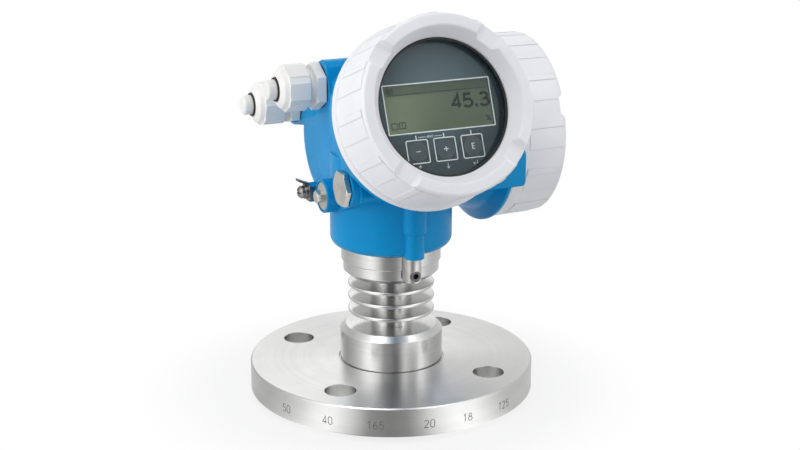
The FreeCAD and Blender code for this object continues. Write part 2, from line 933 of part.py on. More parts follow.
def display_foil():
    face = unit_face - foil_thickness
    plate = rod(unit_radius - 0.4, face, unit_face)
    window = extruded(lcd_corners(-lcd_frame_width), 3, face - 1)
    holes = [rod(key_radius + key_gap, face - 1, face + 3, x, y) for x, y in key_places()]
    return placed(plate.cut([window] + holes), display_frame)


def lcd_panel():
    face = unit_face - foil_thickness
    return placed(extruded(lcd_corners(), lcd_thickness, face - lcd_thickness), display_frame)


def key(index):
    x, y = key_places()[index]
    bottom = unit_face - foil_thickness - key_stem_length
    cap = turned([(0, bottom), (key_radius, bottom), (key_radius, unit_face + key_dome - 0.5, 0.3),
                  (0, unit_face + key_dome)])
    cap.translate(Vector(x, y, 0))
    return placed(cap, display_frame)


def display_holder():
    high = unit_back() - swivel_gap
    low = high - holder_thickness
    ring = turned([
        (unit_hub_radius + unit_turn_clearance, low), (display_cavity_radius - 0.2, low),
        (display_cavity_radius - 0.2, high), (unit_hub_radius + unit_turn_clearance, high)])
    window = block((unit_hub_radius + 5, -9, low - 1), (display_cavity_radius - 6, 9, high + 1))
    windows = turned_copies(window, 3, 90)
    return placed(ring.cut(windows), display_frame)


def electronics_module():
    low = electronics_cavity_floor
    high = low + electronics_length
    body = turned([(0, low), (electronics_radius, low), (electronics_radius, high, 2.0), (0, high)])
    socket = block((-14, 8, high - 4), (14, 16, high + 1))
    return placed(body.cut(socket), display_frame)


def hf_module():
    low = neck_socket_bottom + swivel_height + hf_module_floor_gap
    high = low + hf_module_height
    bore = waveguide_diameter / 2 + swivel_clearance
    bore_top = waveguide_top + waveguide_end_gap
    return turned([(bore, low), (hf_module_radius, low), (hf_module_radius, high, hf_module_edge),
                   (0, high), (0, bore_top), (bore, bore_top)])


# Terminal compartment

def terminal_cover():
    depth = terminal_cover_depth
    panel = terminal_panel_radius
    side_point = (terminal_side_radius, terminal_rim_width + cover_step_height)
    front_point = (terminal_front_radius, depth - terminal_crest_drop)
    blank = turned([
        (0, 0), (terminal_cover_radius, 0, 1.0), (terminal_cover_radius, terminal_rim_width, 0.3),
        side_point, front_point + (0.8,), (terminal_crest_radius, depth, 0.8),
        (panel + terminal_end_recess, depth), (panel, depth - terminal_end_recess),
        (0, depth - terminal_end_recess)])
    solid = joined([blank] + cap_grip(side_point, front_point))
    inner_end = depth - terminal_cover_wall - slot_depth
    hollow = joined([
        rod(terminal_spigot_radius + thread_gap, -1, terminal_spigot_length + seat_gap),
        turned([(0, 5), (terminal_spigot_radius - 3, 5), (terminal_spigot_radius - 5, inner_end, 4.0),
                (0, inner_end)])])
    solid = solid.cut([hollow] + cap_slots(depth, terminal_cover_radius))
    solid.rotate(origin, Z, terminal_cover_turn)
    return placed(solid, terminal_cover_frame())


def terminal_cover_frame():
    return terminal_frame.multiply(Placement(Vector(0, 0, terminal_seat), Rotation()))


def terminal_cover_seal():
    return placed(ring_seal(seal_radius(terminal_spigot_radius), cover_seal_section,
                            terminal_seat + cover_seal_height), terminal_frame)


def terminal_screw_places():
    step = terminal_block_width / terminal_count
    return [-terminal_block_width / 2 + step * (index + 0.5) for index in range(terminal_count)]


def terminal_block():
    low = terminal_cavity_floor
    high = low + terminal_block_depth
    half = terminal_block_width / 2
    rise = terminal_block_height / 2
    entry_top = high - terminal_step_depth - wire_entry_depth / 3
    # Screws stand on the upper step, and the wires go in below it.
    body = block((-rise, -half, low), (rise, half, high))
    cuts = [block((0, -half - 1, high - terminal_step_depth), (rise + 1, half + 1, high + 1))]
    for y in terminal_screw_places():
        cuts.append(block((rise - wire_entry_depth, y - wire_entry_width / 2, low + wire_entry_margin),
                          (rise + 1, y + wire_entry_width / 2, entry_top)))
        cuts.append(rod(terminal_screw_radius + terminal_screw_gap, high - terminal_well_depth, high + 1,
                        -rise / 2, y))
    return placed(body.cut(cuts), terminal_frame)


def terminal_screws():
    high = terminal_cavity_floor + terminal_block_depth - terminal_screw_sink
    side = -terminal_block_height / 4
    reach = terminal_screw_radius + 1
    screws = []
    for y in terminal_screw_places():
        head = rod(terminal_screw_radius, high - terminal_screw_length, high, side, y)
        slot = block((side - reach, y - terminal_slot_width / 2, high - terminal_slot_depth),
                     (side + reach, y + terminal_slot_width / 2, high + 1))
        screws.append(placed(head.cut(slot), terminal_frame))
    return Part.makeCompound(screws)


def inner_ground_screw():
    seat = inner_ground_washer_height
    top = seat + inner_ground_head_height
    slot_half = terminal_slot_width / 2
    washer = rod(inner_ground_washer_radius, 0, seat)
    head = turned([(0, seat), (inner_ground_radius, seat), (inner_ground_radius, top, 1.2), (0, top)])
    slot = block((-inner_ground_radius, -slot_half, top - terminal_slot_depth),
                 (inner_ground_radius, slot_half, top + 1))
    screw = joined([washer, head]).cut(slot)
    screw.translate(Vector(inner_ground_down, inner_ground_back, terminal_cavity_floor))
    return placed(screw, terminal_frame)


# Cable glands

def gland_frame(index):
    return entry_frame(gland_face, gland_rise, gland_front - gland_pitch * index)


def gland_washer(index):
    washer = tube(gland_flats / 2 + 0.6, gland_thread_radius, 0, gland_seal_thickness)
    return placed(washer, gland_frame(index))


def gland_body(index):
    low = gland_seal_thickness
    hexagon_top = low + gland_hex_thickness
    head = hex_prism(gland_flats, low, hexagon_top, gland_turns[index], 0.8)
    stem = turned([
        (0, -gland_thread_length), (gland_thread_radius - 0.05, -gland_thread_length),
        (gland_thread_radius - 0.05, low + 1), (gland_neck_radius, hexagon_top),
        (gland_neck_radius + 0.5, hexagon_top + 1.2), (gland_neck_radius + 0.5, hexagon_top + 2.2),
        (gland_neck_radius - 0.6, hexagon_top + 3.0), (gland_neck_radius - 0.6, gland_stem_length),
        (0, gland_stem_length)])
    bore = rod(gland_bore_radius, -gland_thread_length - 1, gland_stem_length + 1)
    return placed(joined([head, stem]).cut(bore), gland_frame(index))


def gland_nut(index):
    start = gland_nut_start
    flat_end = start + gland_nut_length
    corner = gland_flats / math.sqrt(3)
    outside = turned([
        (0, start), (corner, start), (corner, flat_end - 1), (gland_flats / 2, flat_end),
        (gland_mouth_radius + 1.2, gland_end, 1.5), (0, gland_end)])
    dome = Part.makeSphere(gland_end - start, Vector(0, 0, start - 1.5))
    body = outside.common(extruded(nut_outline(), gland_end - start + 1, start))
    body = body.common(dome)
    inside = gland_neck_radius - 0.6 + gland_nut_wall_gap
    hollow = joined([
        rod(inside, start - 1, gland_stem_length + 1.5),
        turned([(0, gland_stem_length + 1), (inside, gland_stem_length + 1),
                (inside, gland_stem_length + 1.5), (gland_mouth_radius, gland_end - 3),
                (gland_mouth_radius, gland_end + 1), (0, gland_end + 1)])])
    body = body.cut(hollow)
    body.rotate(origin, Z, gland_turns[index])
    return placed(body, gland_frame(index))


def nut_outline():
    # Hexagon whose corners are set back between two narrow ribs.
    points = []
    radius = gland_flats / math.sqrt(3)
    for step in range(6):
        angle = 60 * step
        for offset, reach in ((-9, 0.965), (-7, 0.935), (7, 0.935), (9, 0.965)):
            turn = math.radians(angle + offset)
            points.append((radius * reach * math.cos(turn), radius * reach * math.sin(turn)))
    return points


def gland_insert(index):
    inner = plug_radius
    outer = gland_mouth_radius - gland_nut_wall_gap
    return placed(tube(outer, inner, gland_stem_length + 0.1, gland_end - 2.0), gland_frame(index))


def gland_plug(index):
    end = gland_end + plug_stand
    shape = turned([(0, gland_stem_length - 8), (plug_radius - 0.4, gland_stem_length - 8),
                    (plug_radius - 0.4, gland_stem_length), (plug_radius, gland_stem_length + 0.5),
                    (plug_radius, end, 1.6), (0, end)])
    return placed(shape, gland_frame(index))


# Small parts on the left side

def hex_plug():
    frame = entry_frame(plug_boss_face, -boss_drop, plug_boss_front)
    head = hex_prism(hex_plug_flats, hex_plug_seal, hex_plug_seal + hex_plug_thickness, 30.0, 0.6)
    thread = rod(hex_plug_thread_radius - 0.05, -hex_plug_thread_length + 1, hex_plug_seal + 1)
    return placed(joined([head, thread]), frame)


def hex_plug_gasket():
    frame = entry_frame(plug_boss_face, -boss_drop, plug_boss_front)
    return placed(tube(hex_plug_flats / 2 - 0.6, hex_plug_thread_radius, 0, hex_plug_seal), frame)


def vent_washer():
    frame = entry_frame(vent_boss_face, -boss_drop, vent_boss_front)
    low = -vent_recess_depth
    washer = tube(vent_recess_radius - 0.4, vent_thread_radius, low, low + vent_washer_thickness)
    return placed(washer, frame)


def vent_plug():
    frame = entry_frame(vent_boss_face, -boss_drop, vent_boss_front)
    low = -vent_recess_depth + vent_washer_thickness
    head = hex_prism(vent_plug_flats, low, low + vent_plug_stand, 0.0, 0.5)
    thread = rod(vent_thread_radius - 0.05, low - 7, low + 1)
    return placed(joined([head, thread]), frame)


def ground_clamp():
    half = ground_plate_size / 2
    thick = ground_plate_thickness
    side = ground_tab_width / 2
    lip_in = -ground_boss_radius - ground_lip_gap
    plate = block((-half, lip_in - thick, 0), (half, half, thick))
    lip = block((-half, lip_in - thick, -ground_lip_height), (half, lip_in, thick))
    tab = block((half, -side, thick), (half + thick, side, ground_tab_height))
    tab.rotate(Vector(half, 0, thick), Vector(0, 1, 0), ground_tab_lean)
    foot = block((half - thick, -side, 0), (half + thick, side, thick))
    clamp = joined([plate, lip, tab, foot]).cut(rod(ground_screw_radius + 0.1, -1, thick + 1))
    return placed(clamp, ground_frame())


def ground_washers():
    low = ground_plate_thickness
    flat = tube(ground_washer_radius, ground_screw_radius + 0.1, low, low + ground_washer_thickness)
    spring = tube(ground_washer_radius - 0.7, ground_screw_radius + 0.1, low + ground_washer_thickness,
                  low + 2 * ground_washer_thickness)
    return placed(Part.makeCompound([flat, spring]), ground_frame())


def ground_screw():
    low = ground_plate_thickness + 2 * ground_washer_thickness
    head = turned([(0, low), (ground_head_radius, low), (ground_head_radius, low + 1.0),
                   (ground_head_radius - 1.2, low + ground_head_height, 1.0), (0, low + ground_head_height)])
    shank = rod(ground_screw_radius - 0.05, -6.5, low + 0.5)
    cross = [block((-3, -0.45, low + 1.3), (3, 0.45, low + 5)),
             block((-0.45, -3, low + 1.3), (0.45, 3, low + 5))]
    return placed(joined([head, shank]).cut(cross), ground_frame())


def build():
    parts = {
        "process_flange": process_flange(),
        "antenna_window": antenna_window(),
        "window_seal": window_seal(),
        "antenna_adapter": antenna_adapter(),
        "finned_neck": finned_neck(),
        "process_seal": process_seal(),
        "waveguide_tube": waveguide_tube(),
        "neck_collar": neck_collar(),
        "neck_seal": neck_seal(),
        "housing": housing(),
        "clamp_block": clamp_block(),
        "clamp_screw": clamp_screw(),
        "hf_module": hf_module(),
        "electronics_module": electronics_module(),
        "display_holder": display_holder(),
        "display_body": display_body(),
        "display_foil": display_foil(),
        "lcd_panel": lcd_panel(),
        "key_minus": key(0),
        "key_plus": key(1),
        "key_enter": key(2),
        "display_cover": display_cover(),
        "window_glass": window_glass(),
        "glass_gasket": glass_gasket(),
        "glass_ring": glass_ring(),
        "cover_seal": cover_seal(),
        "terminal_cover": terminal_cover(),
        "terminal_cover_seal": terminal_cover_seal(),
        "terminal_block": terminal_block(),
        "terminal_screws": terminal_screws(),
        "inner_ground_screw": inner_ground_screw(),
        "hex_plug": hex_plug(),
        "hex_plug_gasket": hex_plug_gasket(),
        "vent_washer": vent_washer(),
        "vent_plug": vent_plug(),
        "ground_clamp": ground_clamp(),
        "ground_washers": ground_washers(),
        "ground_screw": ground_screw(),
    }
    for index in range(gland_count):
        number = str(index + 1)
        parts["gland_washer_" + number] = gland_washer(index)
        parts["gland_body_" + number] = gland_body(index)
        parts["gland_nut_" + number] = gland_nut(index)
        parts["gland_insert_" + number] = gland_insert(index)
        parts["gland_plug_" + number] = gland_plug(index)
    return parts


os.makedirs("parts", exist_ok=True)
for name, shape in build().items():
    shape.exportStep("parts/" + name + ".step")
    print(name, len(shape.Solids), round(shape.Volume))
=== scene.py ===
import math

import bmesh
import bpy
from mathutils import Matrix, Vector


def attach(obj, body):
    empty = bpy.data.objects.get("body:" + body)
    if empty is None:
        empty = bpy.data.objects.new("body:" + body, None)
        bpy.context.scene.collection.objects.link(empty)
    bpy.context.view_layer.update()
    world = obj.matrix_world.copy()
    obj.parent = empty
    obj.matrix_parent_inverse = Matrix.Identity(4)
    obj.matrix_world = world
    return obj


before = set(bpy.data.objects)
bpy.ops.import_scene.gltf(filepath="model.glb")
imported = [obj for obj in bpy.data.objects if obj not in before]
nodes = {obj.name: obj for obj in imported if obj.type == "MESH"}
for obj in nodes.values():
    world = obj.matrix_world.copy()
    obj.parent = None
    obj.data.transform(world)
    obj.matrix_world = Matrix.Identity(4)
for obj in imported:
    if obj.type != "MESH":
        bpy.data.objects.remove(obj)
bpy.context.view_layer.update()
mm = 0.001
print("Frame loaded,", len(nodes), "nodes")


# Places of the object that are used again and again

tilt = math.radians(22.4)   # the display looks up by this much
displayMiddle = Vector((0, 0, 155)) * mm
displayRight = Vector((1, 0, 0))
displayUp = Vector((0, math.sin(tilt), math.cos(tilt)))
displayOut = Vector((0, -math.cos(tilt), math.sin(tilt)))
terminalMiddle = Vector((0, 20, 147.6)) * mm
glandSeat = {"face": -35.4, "up": 31.2}   # where both glands leave the casting


def placeFrame(middle, right, up, out):
    # matrix whose columns are the three directions, with the lengths in millimetres
    matrix = Matrix((right, up, out)).transposed().to_4x4()
    return Matrix.Translation(middle) @ matrix @ Matrix.Scale(mm, 4)


def glandFrame(along):
    # both glands point to -X, and along is their place on the display's axis
    centre = displayFrame @ Vector((0, glandSeat["up"], along))
    middle = Vector((glandSeat["face"] * mm, centre.y, centre.z))
    return placeFrame(middle, Vector((0, 0, 1)), Vector((0, 1, 0)), Vector((-1, 0, 0)))


displayFrame = placeFrame(displayMiddle, displayRight, displayUp, displayOut)
terminalFrame = placeFrame(terminalMiddle, Vector((0, 0, -1)), Vector((0, 1, 0)),
                           Vector((1, 0, 0)))


def linear(red, green, blue):
    # screen values from 0 to 255, as the shaders want them
    values = []
    for part in (red, green, blue):
        part /= 255
        values.append(part / 12.92 if part <= 0.04045 else ((part + 0.055) / 1.055) ** 2.4)
    return (*values, 1.0)


# Node helpers

def addNode(tree, kind, settings=None, inputs=None):
    node = tree.nodes.new(kind)
    for label, value in (settings or {}).items():
        setattr(node, label, value)
    for label, value in (inputs or {}).items():
        if isinstance(value, bpy.types.NodeSocket):
            tree.links.new(value, node.inputs[label])
        else:
            node.inputs[label].default_value = value
    return node


def maths(tree, operation, *values):
    return addNode(tree, "ShaderNodeMath", {"operation": operation},
                   dict(enumerate(values))).outputs[0]


def vectorMaths(tree, operation, *values):
    node = addNode(tree, "ShaderNodeVectorMath", {"operation": operation}, dict(enumerate(values)))
    return node.outputs["Vector" if operation == "SUBTRACT" else "Value"]


def average(tree, first, second):
    return maths(tree, "MULTIPLY", maths(tree, "ADD", first, second), 0.5)


def mapped(tree, value, low, high, newLow=0.0, newHigh=1.0):
    node = addNode(tree, "ShaderNodeMapRange", {"interpolation_type": "SMOOTHSTEP"},
                   {"Value": value, "From Min": low, "From Max": high,
                    "To Min": newLow, "To Max": newHigh})
    return node.outputs["Result"]


def mixedColour(tree, factor, first, second):
    return addNode(tree, "ShaderNodeMix", {"data_type": "RGBA"},
                   {0: factor, 6: first, 7: second}).outputs[2]


def objectPlace(tree):
    return addNode(tree, "ShaderNodeTexCoord").outputs["Object"]


def axesOf(tree, vector):
    return addNode(tree, "ShaderNodeSeparateXYZ", None, {0: vector}).outputs


def flatVector(tree, first, second):
    return addNode(tree, "ShaderNodeCombineXYZ", None, {0: first, 1: second}).outputs[0]


def noise(tree, place, scale, detail, roughness=0.5, dimensions="3D"):
    node = addNode(tree, "ShaderNodeTexNoise", {"noise_dimensions": dimensions},
                   {"Vector": place, "Scale": scale, "Detail": detail, "Roughness": roughness})
    return node.outputs[0]


def addBump(tree, depth, height, normal=None):
    inputs = {"Distance": depth * mm, "Height": height}
    if normal is not None:
        inputs["Normal"] = normal
    return addNode(tree, "ShaderNodeBump", None, inputs).outputs[0]


def newGroup(name, inputs, outputs):
    group = bpy.data.node_groups.new(name, "ShaderNodeTree")
    for label, value in inputs.items():
        socket = group.interface.new_socket(label, in_out="INPUT", socket_type="NodeSocketFloat")
        socket.default_value = value
    for label, kind in outputs.items():
        group.interface.new_socket(label, in_out="OUTPUT", socket_type="NodeSocket" + kind)
    entry = group.nodes.new("NodeGroupInput")
    leave = group.nodes.new("NodeGroupOutput")
    return group, entry.outputs, leave.inputs


def placeGroup(tree, group, **values):
    return addNode(tree, "ShaderNodeGroup", {"node_tree": group}, values).outputs


# Effects that several materials share; a pair is a noise's detail and roughness

grainLook = {"hills": (2.0, 0.45), "patches": (3.0, 0.55), "toneFrom": 0.3, "toneTo": 0.7}
ringLook = {"fine": (4.0, 0.7), "broad": (2.0, 0.5), "broadScale": 0.16, "blotch": (4.0, 0.6),
            "toneFrom": 0.32, "toneTo": 0.68}
edgeLook = {"samples": 6, "flat": 0.98, "sharp": 0.8, "breakScale": 260.0, "breakDetail": 3.0,
            "breakFrom": 0.35, "breakTo": 0.65, "leastWearAndHighlight": 0.25}
dustLook = {"colour": (190, 188, 182), "scale": 180.0, "detail": 5.0, "slopeFrom": 0.5,
            "speckFrom": 0.4, "speckTo": 0.75, "leastSpeck": 0.2, "roughening": 0.5}


def makeSprayGrain():
    # fine hills of sprayed or moulded skin, and slow patches of tone
    group, given, result = newGroup("SprayGrain", {"Scale": 900.0, "Patch": 40.0},
                                    {"Height": "Float", "Tone": "Float"})
    look = grainLook
    place = objectPlace(group)
    hills = noise(group, place, given["Scale"], *look["hills"])
    patches = noise(group, place, given["Patch"], *look["patches"])
    group.links.new(hills, result["Height"])
    group.links.new(mapped(group, patches, look["toneFrom"], look["toneTo"]), result["Tone"])
    return group


def makeTurnedMarks():
    # rings that a lathe tool leaves round the upright axis, on flat faces and round sides alike
    group, given, result = newGroup("TurnedMarks", {"Rings": 900.0, "Blotch": 25.0},
                                    {"Height": "Float", "Tone": "Float"})
    look = ringLook
    place = objectPlace(group)
    axes = axesOf(group, place)
    radius = vectorMaths(group, "LENGTH", flatVector(group, axes[0], axes[1]))
    across = flatVector(group, radius, axes[2])
    fine = noise(group, across, given["Rings"], *look["fine"], "2D")
    broadScale = maths(group, "MULTIPLY", given["Rings"], look["broadScale"])
    broad = noise(group, across, broadScale, *look["broad"], "2D")
    blotch = noise(group, place, given["Blotch"], *look["blotch"])
    rings = average(group, fine, broad)
    tone = average(group, rings, blotch)
    group.links.new(rings, result["Height"])
    group.links.new(mapped(group, tone, look["toneFrom"], look["toneTo"]), result["Tone"])
    return group


def makeSoftEdge():
    # rounds hard edges in the shading and says where they are, broken up as real wear is; finishes
    # lighten these edges, partly as wear and partly as a painted highlight
    group, given, result = newGroup("SoftEdge", {"Radius": 0.0004},
                                    {"Normal": "Vector", "Mask": "Float"})
    look = edgeLook
    bevel = addNode(group, "ShaderNodeBevel", {"samples": look["samples"]},
                    {"Radius": given["Radius"]}).outputs[0]
    flat = addNode(group, "ShaderNodeNewGeometry").outputs["Normal"]
    same = vectorMaths(group, "DOT_PRODUCT", bevel, flat)
    breaks = noise(group, objectPlace(group), look["breakScale"], look["breakDetail"])
    edge = mapped(group, same, look["flat"], look["sharp"])
    broken = mapped(group, breaks, look["breakFrom"], look["breakTo"], look["leastWearAndHighlight"])
    group.links.new(bevel, result["Normal"])
    group.links.new(maths(group, "MULTIPLY", edge, broken), result["Mask"])
    return group


def makeDust():
    # thin dust on faces that look up
    group, given, result = newGroup("Dust", {"Amount": 0.1}, {"Mask": "Float"})
    look = dustLook
    up = axesOf(group, addNode(group, "ShaderNodeNewGeometry").outputs["Normal"])[2]
    specks = noise(group, objectPlace(group), look["scale"], look["detail"])
    specks = mapped(group, specks, look["speckFrom"], look["speckTo"], look["leastSpeck"])
    cover = maths(group, "MULTIPLY", mapped(group, up, look["slopeFrom"], 1.0), specks)
    group.links.new(maths(group, "MULTIPLY", cover, given["Amount"]), result["Mask"])
    return group


sprayGrain = makeSprayGrain()
turnedMarks = makeTurnedMarks()
softEdge = makeSoftEdge()
dust = makeDust()
print("Shared effects built")


# Materials

# values of a finish that are the same all over, and the shader's socket for each
plainSockets = {"metallic": "Metallic", "anisotropic": "Anisotropic",
                "rotation": "Anisotropic Rotation", "specular": "Specular IOR Level"}


def newMaterial(name):
    material = bpy.data.materials.new(name)
    material.use_nodes = True
    material.node_tree.nodes.clear()
    return material, material.node_tree


def finishTree(tree, shader):
    addNode(tree, "ShaderNodeOutputMaterial", None, {"Surface": shader})


def addShader(tree, spec, colour, rough, bump):
    shader = addNode(tree, "ShaderNodeBsdfPrincipled", None,
                     {"Base Color": colour, "Roughness": rough, "Normal": bump})
    for label, socket in plainSockets.items():
        if label in spec:
            shader.inputs[socket].default_value = spec[label]
    return shader


def addCoat(tree, spec):
    # tone and grain, worn edges with a painted highlight along them, and a little dust
    if spec.get("turned"):
        grain = placeGroup(tree, turnedMarks, Rings=spec["grain"], Blotch=spec["patch"])
    else:
        grain = placeGroup(tree, sprayGrain, Scale=spec["grain"], Patch=spec["patch"])
    edge = placeGroup(tree, softEdge, Radius=spec["edge"] * mm)
    film = placeGroup(tree, dust, Amount=spec.get("dust", 0.05))["Mask"]
    colour = mixedColour(tree, grain["Tone"], linear(*spec["colour"]), linear(*spec["shade"]))
    # edges take a lighter colour: partly wear, partly a painted highlight
    wornAndHighlighted = maths(tree, "MULTIPLY", edge["Mask"], spec["edgeWearAndHighlight"])
    colour = mixedColour(tree, wornAndHighlighted, colour, linear(*spec["edgeWearAndHighlightColour"]))
    colour = mixedColour(tree, film, colour, linear(*dustLook["colour"]))
    rough = mapped(tree, grain["Tone"], 0.0, 1.0, *spec["roughness"])
    bump = addBump(tree, spec["depth"], grain["Height"], edge["Normal"])
    return {"colour": colour, "rough": rough, "bump": bump, "film": film}


def makeFinish(name, spec):
    # one recipe for paint, plastic, rubber and metal
    material, tree = newMaterial(name)
    coat = addCoat(tree, spec)
    duller = maths(tree, "MULTIPLY", coat["film"], dustLook["roughening"])
    rough = maths(tree, "ADD", coat["rough"], duller)
    shader = addShader(tree, spec, coat["colour"], rough, coat["bump"])
    if spec.get("turned"):
        along = addNode(tree, "ShaderNodeTangent", {"direction_type": "RADIAL", "axis": "Z"})
        tree.links.new(along.outputs[0], shader.inputs["Tangent"])
    finishTree(tree, shader.outputs[0])
    return material


def dress(material, *names):
    for name in names:
        for slot in nodes[name].material_slots:
            slot.material = material


# Metals
# colours run from 0 to 255, grain and patch are noise scales, depth and edge are millimetres

# each finish's edge colour is lighter than its own colour: edge wear plus a painted highlight along
# the edges
flangeSteel = {
    "colour": (219, 219, 218), "shade": (207, 207, 206), "roughness": (0.27, 0.32), "metallic": 1.0,
    "turned": True, "grain": 2600.0, "patch": 30.0, "depth": 0.0015, "edge": 0.5, "edgeWearAndHighlight": 0.6,
    "edgeWearAndHighlightColour": (236, 236, 235), "dust": 0.03, "anisotropic": 0.75, "rotation": 0.25}
neckSteel = {
    "colour": (221, 221, 220), "shade": (211, 211, 210), "roughness": (0.2, 0.25), "metallic": 1.0,
    "turned": True, "grain": 3400.0, "patch": 50.0, "depth": 0.0015, "edge": 0.35, "edgeWearAndHighlight": 0.6,
    "edgeWearAndHighlightColour": (240, 240, 240), "dust": 0.02, "anisotropic": 0.8, "rotation": 0.25}
collarSteel = {
    "colour": (214, 214, 213), "shade": (202, 202, 201), "roughness": (0.21, 0.27), "metallic": 1.0,
    "turned": True, "grain": 3000.0, "patch": 60.0, "depth": 0.002, "edge": 0.35, "edgeWearAndHighlight": 0.5,
    "edgeWearAndHighlightColour": (232, 232, 232), "dust": 0.02, "anisotropic": 0.8, "rotation": 0.25}
clampSteel = {
    "colour": (204, 203, 200), "shade": (182, 181, 178), "roughness": (0.26, 0.4), "metallic": 1.0,
    "grain": 2200.0, "patch": 90.0, "depth": 0.012, "edge": 0.4, "edgeWearAndHighlight": 0.5,
    "edgeWearAndHighlightColour": (232, 232, 230)}
socketSteel = {
    "colour": (96, 96, 98), "shade": (72, 72, 74), "roughness": (0.3, 0.45), "metallic": 1.0,
    "grain": 2200.0, "patch": 120.0, "depth": 0.01, "edge": 0.3, "edgeWearAndHighlight": 0.4,
    "edgeWearAndHighlightColour": (150, 150, 150)}
nickelPlate = {
    "colour": (228, 226, 220), "shade": (208, 205, 198), "roughness": (0.24, 0.36), "metallic": 1.0,
    "grain": 1500.0, "patch": 70.0, "depth": 0.008, "edge": 0.35, "edgeWearAndHighlight": 0.5,
    "edgeWearAndHighlightColour": (238, 236, 230), "dust": 0.04}
groundSteel = {
    "colour": (166, 160, 154), "shade": (134, 128, 122), "roughness": (0.26, 0.4), "metallic": 1.0,
    "grain": 1500.0, "patch": 90.0, "depth": 0.008, "edge": 0.3, "edgeWearAndHighlight": 0.5,
    "edgeWearAndHighlightColour": (206, 202, 196), "dust": 0.04}
guideMetal = {
    "colour": (208, 198, 176), "shade": (188, 178, 158), "roughness": (0.2, 0.32), "metallic": 1.0,
    "turned": True, "grain": 3000.0, "patch": 60.0, "depth": 0.005, "edge": 0.2, "edgeWearAndHighlight": 0.3,
    "edgeWearAndHighlightColour": (208, 198, 176)}

dress(makeFinish("TurnedFlangeSteel", flangeSteel), "process_flange")
dress(makeFinish("TurnedNeckSteel", neckSteel), "antenna_adapter", "finned_neck")
dress(makeFinish("TurnedCollarSteel", collarSteel), "neck_collar")
dress(makeFinish("CastClampSteel", clampSteel), "clamp_block")
dress(makeFinish("SocketScrewSteel", socketSteel), "clamp_screw")
dress(makeFinish("NickelPlate", nickelPlate), "hex_plug", "vent_plug", "vent_washer",
      "terminal_screws", "inner_ground_screw")
dress(makeFinish("GroundSteel", groundSteel), "ground_clamp", "ground_washers", "ground_screw")
dress(makeFinish("WaveguideMetal", guideMetal), "waveguide_tube")
print("Metals done")


# Paints

# the lighter blue on the edges is partly wear and partly a painted highlight
bluePaint = {
    "colour": (0, 146, 207), "shade": (0, 140, 200), "roughness": (0.26, 0.34), "grain": 520.0,
    "patch": 28.0, "depth": 0.03, "edge": 0.8, "edgeWearAndHighlight": 0.35, "edgeWearAndHighlightColour": (40, 160, 212),
    "specular": 0.16, "dust": 0.02}
# bare metal beyond these places: out along the display, and to the right within a reach
bareSeat = {"colour": (196, 197, 198), "out": 43.9, "right": 62.9, "reach": 50}
whitePaint = {
    "colour": (238, 239, 242), "shade": (233, 234, 239), "roughness": (0.32, 0.4),
    "grain": 560.0, "patch": 30.0, "depth": 0.028, "edge": 0.8, "edgeWearAndHighlight": 0.5,
    "edgeWearAndHighlightColour": (242, 243, 246), "specular": 0.4, "dust": 0.02}


def makeHousingPaint():
    # blue spray paint, with the machined spigots of both screw covers left bare
    material, tree = newMaterial("BlueSprayPaint")
    coat = addCoat(tree, bluePaint)
    place = objectPlace(tree)
    fromDisplay = vectorMaths(tree, "SUBTRACT", place, displayMiddle)
    outward = vectorMaths(tree, "DOT_PRODUCT", fromDisplay, displayOut)
    front = maths(tree, "GREATER_THAN", outward, bareSeat["out"] * mm)
    axes = axesOf(tree, vectorMaths(tree, "SUBTRACT", place, terminalMiddle))
    radius = vectorMaths(tree, "LENGTH", flatVector(tree, axes[1], axes[2]))
    side = maths(tree, "MULTIPLY", maths(tree, "GREATER_THAN", axes[0], bareSeat["right"] * mm),
                 maths(tree, "LESS_THAN", radius, bareSeat["reach"] * mm))
    bare = maths(tree, "MAXIMUM", front, side)
    colour = mixedColour(tree, bare, coat["colour"], linear(*bareSeat["colour"]))
    shader = addShader(tree, bluePaint, colour, coat["rough"], coat["bump"])
    tree.links.new(bare, shader.inputs["Metallic"])
    finishTree(tree, shader.outputs[0])
    return material


dress(makeHousingPaint(), "housing")
dress(makeFinish("WhiteSprayPaint", whitePaint), "display_cover", "terminal_cover")
print("Paints done")


# Plastics, rubber and boards

glandPlastic = {
    "colour": (240, 239, 236), "shade": (234, 233, 230), "roughness": (0.34, 0.44), "grain": 900.0,
    "patch": 60.0, "depth": 0.012, "edge": 0.5, "edgeWearAndHighlight": 0.4, "edgeWearAndHighlightColour": (242, 243, 245),
    "dust": 0.03}
plugPlastic = {
    "colour": (238, 238, 236), "shade": (232, 232, 230), "roughness": (0.42, 0.52), "grain": 700.0,
    "patch": 80.0, "depth": 0.015, "edge": 0.5, "edgeWearAndHighlight": 0.3, "edgeWearAndHighlightColour": (242, 243, 244),
    "dust": 0.03}
windowPlastic = {
    "colour": (226, 226, 222), "shade": (216, 216, 210), "roughness": (0.34, 0.46), "turned": True,
    "grain": 2000.0, "patch": 60.0, "depth": 0.008, "edge": 0.4, "edgeWearAndHighlight": 0.2,
    "edgeWearAndHighlightColour": (236, 236, 232)}
rubber = {
    "colour": (24, 24, 26), "shade": (34, 34, 36), "roughness": (0.5, 0.66), "grain": 1400.0,
    "patch": 120.0, "depth": 0.012, "edge": 0.3, "edgeWearAndHighlight": 0.3, "edgeWearAndHighlightColour": (52, 52, 54)}
ringPlastic = {
    "colour": (18, 19, 21), "shade": (27, 28, 30), "roughness": (0.3, 0.42), "grain": 1200.0,
    "patch": 90.0, "depth": 0.008, "edge": 0.3, "edgeWearAndHighlight": 0.3, "edgeWearAndHighlightColour": (48, 50, 52)}
